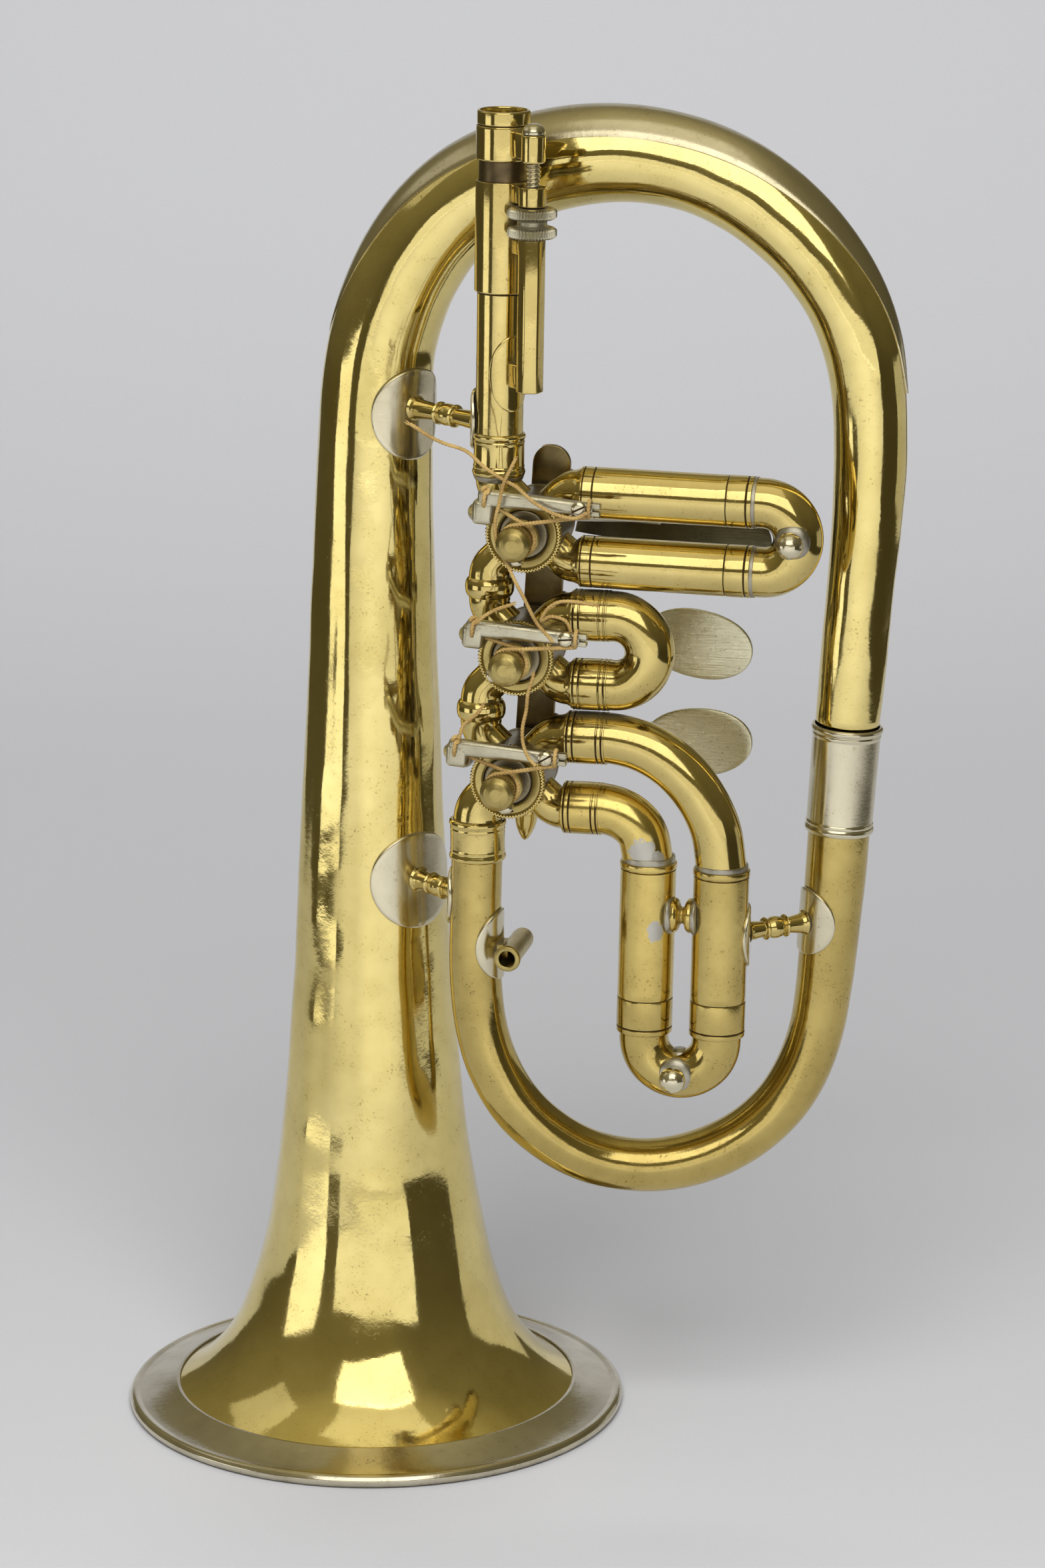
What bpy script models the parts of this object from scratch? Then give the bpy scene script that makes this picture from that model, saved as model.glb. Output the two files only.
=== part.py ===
"""Small upright rotary-valve saxhorn (soprano size), standing on its bell.

It has three string-action rotary valves, an adjustable mouthpipe receiver with a thumb nut, two
tuning slides, one continuous bell and top bow, a bottom bow, turned braces and a lyre socket.

The working frame is in millimetres with the bell's axis at X = 0: +X runs right, from the bell
towards the narrow branch, -Y is the front, where the rotor hubs and action cords are, and +Z runs
up from the bell rim. SHIFT_X moves the frame so that the horn stands centred over the origin.
"""

import math

import bmesh
import bpy
from mathutils import Matrix, Vector

MM = 0.001
SHIFT_X = 36.24

# ---------------------------------------------------------------- driving dimensions (mm)
RIM_RADIUS = 65.0                # outside of the garland
BELL_EDGE_RADIUS = 52.2          # where the brass ends in the garland
BELL_WALL = 0.7
TUBE_WALL = 0.45
CLEAR = 0.3                      # gap kept between neighbouring pieces

VALVE_CENTRES = ((48.2, 243.0), (46.3, 212.0), (44.2, 180.6))    # X, Z, from the top down
VALVE_Y = -27.0                  # plane of the mouthpipe, the rotors' windways and the slides
CASING_FRONT, CASING_BACK = -38.2, -18.4
CASING_RADIUS, CASING_BORE = 8.6, 7.6
HUB_RADIUS = 3.5
CORD_RADIUS = 0.45
HINGE_Y = -12.5                  # lever rod
BAR_Y = -46.6                    # string bars

LEG_RADIUS = 6.4                 # outer tubes of the first slide
LEG3_RADIUS = 6.95               # outer tubes of the third slide
BOW_RADIUS = 6.15
LOOP1_HALF, LOOP2_HALF, LEG3_HALF = 8.65, 8.75, 9.25             # half the gap between leg axes
LOOP3_RISE, LOOP3_DROP = 9.0, 9.1                                # third valve's ports, from its centre

# ---------------------------------------------------------------- scene
for old in list(bpy.data.objects):
    bpy.data.objects.remove(old, do_unlink=True)

HORN = bpy.data.collections.new("rotary_saxhorn")
CUTTERS = bpy.data.collections.new("cutters")
bpy.context.scene.collection.children.link(HORN)
bpy.context.scene.collection.children.link(CUTTERS)
CUTTERS.hide_render = True


def material(name, colour, metallic, roughness):
    made = bpy.data.materials.new(name)
    made.use_nodes = True
    shader = made.node_tree.nodes["Principled BSDF"]
    shader.inputs["Base Color"].default_value = (*colour, 1.0)
    shader.inputs["Metallic"].default_value = metallic
    shader.inputs["Roughness"].default_value = roughness
    made.diffuse_color = (*colour, 1.0)
    return made


BRASS = material("polished_brass", colour=(0.66, 0.50, 0.16), metallic=1.0, roughness=0.22)
DULL_BRASS = material("dull_brass", colour=(0.35, 0.27, 0.13), metallic=1.0, roughness=0.45)
TARNISHED = material("tarnished_brass", colour=(0.09, 0.055, 0.03), metallic=0.9, roughness=0.45)
NICKEL = material("nickel_silver", colour=(0.62, 0.60, 0.50), metallic=1.0, roughness=0.28)
STEEL = material("steel_wire", colour=(0.25, 0.24, 0.22), metallic=1.0, roughness=0.4)
TWINE = material("waxed_twine", colour=(0.55, 0.33, 0.12), metallic=0.0, roughness=0.8)


# ---------------------------------------------------------------- building tools
def at_mm(x, y, z):
    """A place in the working frame as a scene vector in metres."""
    return Vector(((x - SHIFT_X) * MM, y * MM, z * MM))


def between(start, end, t):
    return tuple(p + (q - p) * t for p, q in zip(start, end))


def aligned(axis):
    """The rotation that takes +Z to the axis."""
    turn = Vector((0, 0, 1)).rotation_difference(Vector(axis).normalized())
    return turn.to_matrix().to_4x4()


def add(name, data, mat):
    obj = bpy.data.objects.new(name, data)
    HORN.objects.link(obj)
    data.materials.append(mat)
    return obj


def mesh_from(name, work):
    """Writes a bmesh out to a new mesh and frees it."""
    mesh = bpy.data.meshes.new(name)
    work.to_mesh(mesh)
    work.free()
    return mesh


def realise(obj):
    """The object's evaluated shape as a plain mesh object in the same place."""
    bpy.context.view_layer.update()
    graph = bpy.context.evaluated_depsgraph_get()
    mesh = bpy.data.meshes.new_from_object(obj.evaluated_get(graph))
    if obj.type == "CURVE":
        # Curve caps come out as separate faces, so their edges are welded to the sides.
        work = bmesh.new()
        work.from_mesh(mesh)
        bmesh.ops.remove_doubles(work, verts=work.verts, dist=1e-7)
        work.to_mesh(mesh)
        work.free()
    name, world = obj.name, obj.matrix_world.copy()
    bpy.data.objects.remove(obj, do_unlink=True)
    made = bpy.data.objects.new(name, mesh)
    HORN.objects.link(made)
    made.matrix_world = world
    return made


def smooth(obj):
    obj.data.shade_smooth()
    obj.data.set_sharp_from_angle(angle=math.radians(35.0))
    return obj


def thicken(obj, name, thickness, offset):
    """Gives a surface a thickness: offset 1 puts it outside, -1 inside."""
    shell = obj.modifiers.new(name, "SOLIDIFY")
    shell.thickness = thickness * MM
    shell.offset = offset
    return smooth(obj)


def turned(name, profile, mat, at, steps, axis=(0, 0, 1), closed=False):
    """A turned piece. The profile lists (radius, height) down the outer side, top first."""
    mesh = bpy.data.meshes.new(name)
    points = [(radius * MM, 0.0, height * MM) for radius, height in profile]
    edges = [(i, i + 1) for i in range(len(points) - 1)]
    if closed:
        edges.append((len(points) - 1, 0))
    mesh.from_pydata(points, edges, [])
    obj = add(name, mesh, mat)
    screw = obj.modifiers.new("turn", "SCREW")
    screw.axis = "Z"
    screw.angle = math.tau
    screw.steps = screw.render_steps = steps
    screw.use_merge_vertices = True
    screw.merge_threshold = 1e-7
    screw.use_smooth_shade = True
    obj.matrix_world = Matrix.Translation(at_mm(*at)) @ aligned(axis)
    return obj


def pipe(name, stations, mat, segments, capped=False):
    """A round surface along stations of (x, y, z, radius)."""
    curve = bpy.data.curves.new(name, "CURVE")
    curve.dimensions = "3D"
    curve.bevel_depth = MM
    curve.bevel_resolution = max(0, (segments - 4) // 2)
    curve.use_fill_caps = capped
    spline = curve.splines.new("POLY")
    spline.points.add(len(stations) - 1)
    for point, (x, y, z, radius) in zip(spline.points, stations):
        point.co = (*at_mm(x, y, z), 1.0)
        point.radius = radius
    return realise(add(name, curve, mat))


def tube(name, stations, wall=TUBE_WALL, segments=12):
    """A hollow brass tube, open at both ends, its wall inside the stated radius."""
    return thicken(pipe(name, stations, BRASS, segments), "wall", wall, -1.0)


def bar(name, stations, mat, segments):
    """A solid bar with closed ends."""
    return smooth(pipe(name, stations, mat, segments, capped=True))


def block(name, size, at, mat, turn, bevel=0.0):
    work = bmesh.new()
    bmesh.ops.create_cube(work, size=1.0)
    for vert in work.verts:
        vert.co = Vector([c * s for c, s in zip(vert.co, size)]) * MM
    obj = add(name, mesh_from(name, work), mat)
    obj.matrix_world = Matrix.Translation(at_mm(*at)) @ turn
    if bevel:
        edge = obj.modifiers.new("edge", "BEVEL")
        edge.width = bevel * MM
        edge.segments = 1
    return obj


def cylinder(name, radius, length, world, mat, segments):
    """A closed cylinder along its own Z, its radius and length in metres."""
    work = bmesh.new()
    bmesh.ops.create_cone(
        work, cap_ends=True, segments=segments, radius1=radius, radius2=radius, depth=length
    )
    obj = add(name, mesh_from(name, work), mat)
    obj.matrix_world = world
    return obj


def rod(name, radius, start, end, segments=14, mat=BRASS):
    """A plain cylinder between two points."""
    foot, top = at_mm(*start), at_mm(*end)
    world = Matrix.Translation((foot + top) / 2) @ aligned(top - foot)
    return cylinder(name, radius * MM, (top - foot).length, world, mat, segments)


def flat_plate(name, outline, thickness, mat, world):
    """A flat plate cut to an outline of (x, y), laid with its own Z through the thickness."""
    curve = bpy.data.curves.new(name, "CURVE")
    curve.dimensions = "2D"
    curve.fill_mode = "BOTH"
    curve.extrude = thickness / 2 * MM
    spline = curve.splines.new("POLY")
    spline.points.add(len(outline) - 1)
    for point, (x, y) in zip(spline.points, outline):
        point.co = (x * MM, y * MM, 0, 1)
    spline.use_cyclic_u = True
    obj = add(name, curve, mat)
    obj.matrix_world = world
    return realise(obj)


def combine(obj, other, operation):
    mod = obj.modifiers.new(operation.lower(), "BOOLEAN")
    mod.operation = operation
    mod.solver = "EXACT"
    mod.object = other


def fuse(name, pieces, mat):
    """One solid from overlapping pieces, with the first piece's origin."""
    base, *others = pieces
    for other in others:
        combine(base, other, "UNION")
    made = realise(base)
    for other in others:
        bpy.data.objects.remove(other, do_unlink=True)
    made.name = name
    made.data.name = name
    made.data.materials.clear()
    made.data.materials.append(mat)
    return smooth(made)


def carve(obj, cutters):
    """Cuts the pieces out of obj, keeps them as hidden cutters and makes the result plain."""
    for cutter in cutters:
        combine(obj, cutter, "DIFFERENCE")
        HORN.objects.unlink(cutter)
        CUTTERS.objects.link(cutter)
        cutter.hide_render = True
        cutter.display_type = "WIRE"
    return smooth(realise(obj))


FLANGE_THICK = 0.5
FLANGE_RINGS, FLANGE_SPOKES = 3, 12


def flange(name, mat, spine, outward, half_tall, half_wide, gap=CLEAR):
    """A thin disc wrapped on a tube.

    spine(h) gives the tube's axis point and radius at h above the disc's middle.
    """
    middle, _ = spine(0.0)
    along = (spine(1.0)[0] - middle).normalized()
    outward = Vector(outward)
    outward = (outward - along * outward.dot(along)).normalized()
    side = along.cross(outward)
    work = bmesh.new()

    def vertex(rho, phi):
        centre, radius = spine(half_tall * rho * math.sin(phi))
        turn = half_wide * rho * math.cos(phi) / radius
        normal = outward * math.cos(turn) + side * math.sin(turn)
        return work.verts.new(at_mm(*(centre + normal * (radius + gap))))

    centre = vertex(0, 0)
    grid = [
        [vertex(i / FLANGE_RINGS, math.tau * k / FLANGE_SPOKES) for k in range(FLANGE_SPOKES)]
        for i in range(1, FLANGE_RINGS + 1)
    ]
    for k in range(FLANGE_SPOKES):
        n = (k + 1) % FLANGE_SPOKES
        work.faces.new((centre, grid[0][k], grid[0][n]))
        for ring, wider in zip(grid, grid[1:]):
            work.faces.new((ring[k], wider[k], wider[n], ring[n]))
    bmesh.ops.recalc_face_normals(work, faces=work.faces)
    work.faces.ensure_lookup_table()
    if work.faces[0].normal.dot(outward) < 0:
        bmesh.ops.reverse_faces(work, faces=work.faces)
    return thicken(add(name, mesh_from(name, work), mat), "sheet", FLANGE_THICK, 1.0)


def hang(name, at, *pieces):
    """Parents the pieces to a new empty without moving them."""
    empty = bpy.data.objects.new(name, None)
    empty.empty_display_size = 0.01
    HORN.objects.link(empty)
    empty.location = at_mm(*at)
    bpy.context.view_layer.update()
    for piece in pieces:
        world = piece.matrix_world.copy()
        piece.parent = empty
        piece.matrix_parent_inverse = empty.matrix_world.inverted()
        piece.matrix_world = world


# ---------------------------------------------------------------- bell and top bow
# Stations of x, y, z, outer radius, from the rim up.
BELL_LINE = (
    (0, 0, 5.6, BELL_EDGE_RADIUS), (0, 0, 7.3, 49.4), (0, 0, 9.8, 46.0), (0, 0, 13.4, 42.4),
    (0, 0, 18.2, 38.9), (0, 0, 24.7, 35.4), (0, 0, 35.9, 31.5), (0, 0, 47.1, 28.8),
    (0, 0, 66.0, 25.6), (0, 0, 91.2, 22.75), (0, 0, 123.8, 20.2), (0.1, 0, 155.0, 18.5),
    (0.6, 0, 198.3, 16.5), (1.2, 0, 239.9, 14.95), (1.8, 0, 260.5, 14.4),
)
# The same columns, over the crown and down the narrow branch.
BOW_LINE = (
    (2.3, 0, 270.8, 14.0), (3.6, -0.1, 281, 13.55), (6.8, -0.3, 292.3, 13.3),
    (12.9, -0.7, 304.8, 13.1), (22.2, -1.2, 316.4, 13.0), (34.0, -1.7, 324.6, 12.8),
    (48.1, -2.3, 329.5, 12.4), (63.3, -3.1, 331.7, 11.8), (78.4, -3.9, 330.5, 11.35),
    (92.5, -4.7, 325.9, 11.05), (105.6, -5.4, 317.6, 10.7), (116.4, -6.1, 306.1, 10.2),
    (123.9, -6.5, 292.6, 9.8), (127.7, -6.5, 276.5, 9.3), (128.5, -6.5, 260, 8.9),
    (127.6, -6.5, 239, 8.65), (124.4, -6.5, 198, 8.3),
)
FERRULE_TOP, FERRULE_FOOT = (123.85, -6.5, 191.2), (121.85, -6.5, 160.8)


def in_ferrule(t, radius):
    """A station inside the bow ferrule, t running from its top to its foot."""
    return (*between(FERRULE_TOP, FERRULE_FOOT, t), radius)


tube(
    "bell_and_top_bow",
    [*BELL_LINE, *BOW_LINE, in_ferrule(-0.02, 8.22), in_ferrule(0.0, 7.8), in_ferrule(0.49, 7.75)],
    BELL_WALL, 16,
)

GARLAND_BORE = BELL_EDGE_RADIUS + 0.35
turned(
    "bell_garland",
    [(GARLAND_BORE, 5.8), (56.5, 4.5), (62.4, 2.7), (63.3, 2.85), (64.6, 2.5), (RIM_RADIUS, 1.45),
     (64.7, 0.5), (64.1, 0.0), (62.7, 0.0), (61.9, 1.7), (56.5, 3.7), (GARLAND_BORE, 4.95)],
    NICKEL, (0, 0, 0), steps=32, closed=True,
)

GUARD_LINE = BOW_LINE[1:14]
GUARD_COLUMNS = 6
GUARD_GAP, GUARD_THICK = 0.5, 0.45
GUARD_POINT, GUARD_SPREAD = 3.0, 59.0    # half angle at the points, and what the middle adds


def bow_guard():
    """Nickel sheet round the outside of the top bow, broad at the crown, narrow at its ends."""
    work = bmesh.new()
    rows = []
    last = len(GUARD_LINE) - 1
    for i, (x, y, z, radius) in enumerate(GUARD_LINE):
        before = Vector(GUARD_LINE[max(i - 1, 0)][:3])
        after = Vector(GUARD_LINE[min(i + 1, last)][:3])
        tangent = (after - before).normalized()
        back = (Vector((0, 1, 0)) - tangent * tangent.y).normalized()
        out = tangent.cross(back).normalized()
        t = i / last
        fullness = 0.6 if t < 0.5 else 0.85
        half = math.radians(GUARD_POINT + GUARD_SPREAD * math.sin(math.pi * t) ** fullness)
        row = []
        for k in range(GUARD_COLUMNS + 1):
            angle = half * (k / (GUARD_COLUMNS / 2) - 1)
            normal = out * math.cos(angle) + back * math.sin(angle)
            row.append(work.verts.new(at_mm(*(Vector((x, y, z)) + normal * (radius + GUARD_GAP)))))
        rows.append(row)
    for upper, lower in zip(rows, rows[1:]):
        for k in range(GUARD_COLUMNS):
            work.faces.new((upper[k], upper[k + 1], lower[k + 1], lower[k]))
    bmesh.ops.recalc_face_normals(work, faces=work.faces)
    work.faces.ensure_lookup_table()
    crown_face = work.faces[len(rows) // 2 * GUARD_COLUMNS + GUARD_COLUMNS // 2]
    if crown_face.normal.z < 0:
        bmesh.ops.reverse_faces(work, faces=work.faces)
    thicken(add("bow_guard", mesh_from("bow_guard", work), NICKEL), "sheet", GUARD_THICK, 1.0)


bow_guard()

ferrule_axis = Vector(FERRULE_TOP) - Vector(FERRULE_FOOT)
ferrule_length = ferrule_axis.length
turned(
    "bow_ferrule",
    [(8.15, ferrule_length), (8.8, ferrule_length), (8.95, ferrule_length - 0.8),
     (8.5, ferrule_length - 1.8), (8.3, 2.0), (8.6, 0.8), (8.4, 0.0), (8.05, 0.0)],
    NICKEL, FERRULE_FOOT, 18, ferrule_axis, closed=True,
)

# ---------------------------------------------------------------- bottom bow to valve 3
# Stations of x, y, z, outer radius, from the bow ferrule down and round to the valves.
BOTTOM_LINE = (
    (121.6, -6.5, 154.1, 7.7), (119.9, -6.5, 133.1, 7.3), (118.9, -6.5, 122.5, 7.1),
    (117.3, -6.8, 111.7, 7.0), (113.9, -7.6, 100.9, 6.95), (108.4, -9.1, 91.4, 6.9),
    (100.3, -11.2, 83.6, 6.9), (90.4, -13.5, 78.2, 6.9), (80.5, -15.9, 75.7, 6.85),
    (70.5, -18.2, 75.7, 6.8), (60.6, -20.8, 78.3, 6.8), (51.2, -23.4, 84.0, 6.8),
    (43.6, -25.6, 92.0, 6.75), (37.9, -26.8, 102.2, 6.7), (34.7, VALVE_Y, 112.5, 6.6),
    (33.3, VALVE_Y, 124.5, 6.5), (33.2, VALVE_Y, 140, 6.5), (33.6, VALVE_Y, 156.1, 6.5),
    (33.62, VALVE_Y, 156.3, 6.05), (33.75, VALVE_Y, 161.6, 6.05),
)
tube("bottom_bow", [in_ferrule(0.51, 7.7), in_ferrule(1.0, 7.7), *BOTTOM_LINE])
turned(
    "exit_ferrule",
    [(6.4, 167.2), (7.0, 167.2), (7.15, 166.3), (6.85, 165.3),
     (6.85, 159.0), (7.15, 158.0), (7.0, 157.0), (6.4, 157.0)],
    BRASS, (33.8, VALVE_Y, 0), 16, closed=True,
)

# ---------------------------------------------------------------- mouthpipe and receiver
# Profiles in this section give heights above Z 0, measured along the leaning axes.
LEAD_X250, LEAD_LEAN = 39.2, 0.0158      # mouthpipe axis: X at Z 250, lean per mm of height
SCREW_OFFSET = (9.3, -9.0)               # adjusting screw axis from the mouthpipe axis, X and Y
LEAD_AXIS = Vector((LEAD_LEAN, 0, 1)).normalized()
TO_SCREW = Vector((*SCREW_OFFSET, 0)).normalized()
FACE_SCREW = Matrix.Rotation(math.atan2(TO_SCREW.y, TO_SCREW.x), 4, "Z")


def lead(z):
    """The mouthpipe's axis at a height."""
    return (LEAD_X250 + (z - 250) * LEAD_LEAN, VALVE_Y, z)


def screw_at(z):
    """The adjusting screw's axis at a height."""
    x, y, z = lead(z)
    return (x + SCREW_OFFSET[0], y + SCREW_OFFSET[1], z)


def towards_screw(z, distance):
    """A place at a distance from the mouthpipe's axis towards the screw."""
    return Vector(lead(z)) + TO_SCREW * distance


turned(
    "mouthpipe",
    [(6.12, 327.8), (6.6, 327.8), (6.6, 300.9), (5.9, 300.4), (5.9, 265.95), (5.5, 265.9),
     (5.5, 261.0), (4.9, 261.0), (4.9, 265.0), (5.3, 266.0), (5.3, 300.6), (6.12, 301.4)],
    BRASS, lead(0), 16, LEAD_AXIS, closed=True,
)
turned(
    "mouthpipe_ferrule",
    [(5.85, 265.6), (6.35, 265.6), (6.5, 264.9), (6.25, 263.9),
     (6.25, 257.1), (6.5, 256.1), (6.35, 255.4), (5.85, 255.4)],
    BRASS, lead(0), 16, LEAD_AXIS, closed=True,
)


def mouthpipe_receiver():
    socket = turned(
        "mouthpipe_receiver",
        [(5.65, 344.8), (6.44, 344.8), (6.44, 341.4), (6.65, 341.3), (6.65, 333.1),
         (5.85, 333.0), (5.85, 306.0), (5.3, 306.0), (5.3, 330.0), (4.9, 334.0)],
        BRASS, lead(0), 16, LEAD_AXIS, closed=True,
    )
    lug = block("receiver_lug", (4.3, 4.4, 6.0), towards_screw(337.4, 8.35), BRASS, FACE_SCREW)
    return fuse("mouthpipe_receiver", [realise(socket), lug], BRASS)


adjusting_screw = turned(
    "adjusting_screw",
    [(0, 341.5), (1.4, 341.0), (2.1, 339.6), (2.1, 334.6), (1.72, 334.3), (1.72, 290.0), (0, 290.0)],
    NICKEL, screw_at(0), 12, LEAD_AXIS,
)
thumb_nut = turned(
    "thumb_nut",
    [(2.05, 322.6), (6.0, 322.6), (6.0, 319.9), (3.7, 319.9),
     (3.7, 318.2), (6.0, 318.2), (6.0, 315.4), (2.05, 315.4)],
    NICKEL, screw_at(0), 18, LEAD_AXIS, closed=True,
)


def screw_guide_block():
    """A ring round the screw, above the thumb nut, on an arm from the mouthpipe."""
    bore = 2.0
    ring = turned(
        "screw_guide_block",
        [(bore, 327.5), (3.3, 327.5), (3.3, 323.0), (bore, 323.0)],
        BRASS, screw_at(0), 14, LEAD_AXIS, closed=True,
    )
    arm = block("guide_arm", (3.4, 3.4, 4.0), towards_screw(325.3, 8.6), BRASS, FACE_SCREW)
    guide = fuse("screw_guide_block", [realise(ring), arm], BRASS)
    carve(guide, [rod("screw_guide_bore", bore, screw_at(329), screw_at(322))])


SHEATH_RADIUS, SHEATH_LENGTH, SHEATH_MIDDLE_Z = 3.4, 37.3, 296.25
SHEATH_PLATE_Z = 280.8


def screw_sheath():
    """A six-sided tube with a closed foot, standing off the mouthpipe on two blocks."""
    world = (
        Matrix.Translation(at_mm(*screw_at(SHEATH_MIDDLE_Z)))
        @ aligned(LEAD_AXIS)
        @ Matrix.Rotation(math.radians(12), 4, "Z")
    )
    body = cylinder("screw_sheath", SHEATH_RADIUS * MM, SHEATH_LENGTH * MM, world, BRASS, 6)
    feet = [
        block("sheath_foot_low", (4.6, 2.6, 5.6), towards_screw(SHEATH_PLATE_Z, 8.8),
              BRASS, FACE_SCREW),
        block("sheath_foot_high", (3.6, 2.4, 3.2), towards_screw(312.6, 9.0), BRASS, FACE_SCREW),
    ]
    sheath = fuse("screw_sheath", [realise(body), *feet], BRASS)
    plate = flange("sheath_plate", BRASS, lambda h: (Vector(lead(SHEATH_PLATE_Z + h)), 5.9),
                   TO_SCREW, 6.65, 5.3)
    sheath = fuse("screw_sheath", [sheath, realise(plate)], BRASS)
    carve(sheath, [rod("screw_sheath_bore", 2.15, screw_at(316), screw_at(279.2))])


receiver = mouthpipe_receiver()
screw_guide_block()
screw_sheath()
hang("receiver_slide_axis", lead(330), receiver, adjusting_screw)
hang("thumb_nut_axis", screw_at(319), thumb_nut)

# ---------------------------------------------------------------- rotary valves
LINK_X = (37.0, 34.8)            # upright links between valves 1-2 and 2-3
LINK_Z = (227.0, 195.7)          # middles of their ferrules
PORT = 3.2                       # a neck's first station, across and up or down from the centre
NECK_WALL = 0.55

# Left necks of each valve, upper then lower: X of the upright line, end Z, end radius, bend radius.
LEFT_NECKS = (
    ((39.3, 254.9, 5.75, 6.0), (LINK_X[0], 227.3, 5.15, 5.3)),
    ((LINK_X[0], 226.9, 5.15, 5.3), (LINK_X[1], 195.9, 5.15, 5.3)),
    ((LINK_X[1], 195.5, 5.15, 5.3), (33.85, 162.0, 6.1, 6.8)),
)
# Straight spigot that goes on from the first valve's upper left neck: X, Z, radius.
LEAD_SPIGOT = ((39.3, 255.0, 5.45), (39.37, 259.5, 5.45))
# Right necks, upper then lower: height of the leg from the valve's centre, end X.
RIGHT_NECKS = (
    ((LOOP1_HALF, 60.3), (LOOP1_HALF, 60.0)),
    ((LOOP2_HALF, 58.4), (LOOP2_HALF, 58.4)),
    ((LOOP3_RISE, 56.9), (LOOP3_DROP, 56.1)),
)
RIGHT_BEND = 5.6
RIGHT_BEND_STATIONS = ((45, 4.95), (22, 5.2), (0, 5.5))      # angle, radius
CLAMP_ANGLES = (-90.0, 212.0, -68.0)                         # of the hub's clamp screws
ROTOR_BACK = CASING_BACK - 2.1
SIN45 = math.sin(math.pi / 4)
COS45 = math.cos(math.pi / 4)


def left_neck(centre, sign, line_x, end_z, radius, bend):
    """From the casing at 45 degrees, round into the upright line that leads to the next piece."""
    cx, cz = centre
    run = cx - line_x - bend * (1 - COS45)
    way = [(cx - PORT, cz + sign * PORT, radius - 0.4)]
    for degrees in (45, 22, 0):
        angle = math.radians(degrees)
        way.append((
            line_x + bend * (1 - math.cos(angle)),
            cz + sign * (run + bend * (SIN45 - math.sin(angle))),
            radius - 0.3 * degrees / 45,
        ))
    way.append((line_x, end_z, radius))
    return way


def right_neck(centre, sign, leg_half, end_x):
    """From the casing at 45 degrees, round into a slide leg, opening out to the leg's size."""
    cx, cz = centre
    run = leg_half - RIGHT_BEND * (1 - COS45)
    way = [(cx + PORT, cz + sign * PORT, 4.7)]
    for degrees, radius in RIGHT_BEND_STATIONS:
        angle = math.radians(degrees)
        way.append((
            cx + run + RIGHT_BEND * (SIN45 - math.sin(angle)),
            cz + sign * (leg_half - RIGHT_BEND * (1 - math.cos(angle))),
            radius,
        ))
    leg_z = cz + sign * leg_half
    return way + [(end_x - 0.3, leg_z, LEG_RADIUS), (end_x, leg_z, LEG_RADIUS)]


def valve_casing(number, centre):
    """The casing with its four necks, bored through."""
    cx, cz = centre
    lines = [left_neck(centre, s, *row) for s, row in zip((1, -1), LEFT_NECKS[number - 1])]
    lines += [right_neck(centre, s, *row) for s, row in zip((1, -1), RIGHT_NECKS[number - 1])]
    if number == 1:
        lines[0] += LEAD_SPIGOT
    outers = [rod("body", CASING_RADIUS, (cx, CASING_FRONT, cz), (cx, CASING_BACK, cz), 20,
                  DULL_BRASS)]
    bores = []
    for k, line in enumerate(lines):
        outers.append(bar(f"neck_{number}_{k}", [(x, VALVE_Y, z, r) for x, z, r in line], BRASS, 8))
        # The bore runs 1 mm past the neck's end so that it opens cleanly.
        (x0, z0, _), (x1, z1, end_radius) = line[-2:]
        far = math.hypot(x1 - x0, z1 - z0)
        bore_line = line + [(x1 + (x1 - x0) / far, z1 + (z1 - z0) / far, end_radius)]
        bore_way = [(x, VALVE_Y, z, r - NECK_WALL) for x, z, r in bore_line]
        bores.append(bar(f"neck_bore_{number}_{k}", bore_way, BRASS, 8))
    casing = fuse(f"valve_{number}_casing", outers, BRASS)
    bores.append(rod(f"casing_bore_{number}", CASING_BORE, (cx, CASING_FRONT - 1, cz),
                     (cx, CASING_BACK - 1.6, cz), 20))
    bores.append(rod(f"pivot_socket_{number}", 2.1, (cx, CASING_BACK - 2.5, cz),
                     (cx, CASING_BACK - 0.7, cz), 12))
    carve(casing, bores)


def valve_front(number, centre):
    """The bearing plate in the front of the casing and the ring that holds it."""
    cx, cz = centre
    turned(
        f"valve_{number}_bearing_plate",
        [(2.5, 1.5), (6.0, 1.5), (6.0, 0.0), (7.25, 0.0), (7.25, -1.4), (2.5, -1.4)],
        NICKEL, (cx, -37.9, cz), 16, (0, -1, 0), closed=True,
    )
    turned(
        f"valve_{number}_lock_ring",
        [(6.35, 1.7), (9.0, 1.7), (9.3, 1.4), (9.3, 0.0), (6.35, 0.0)],
        DULL_BRASS, (cx, -38.5, cz), 20, (0, -1, 0), closed=True,
    )


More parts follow.
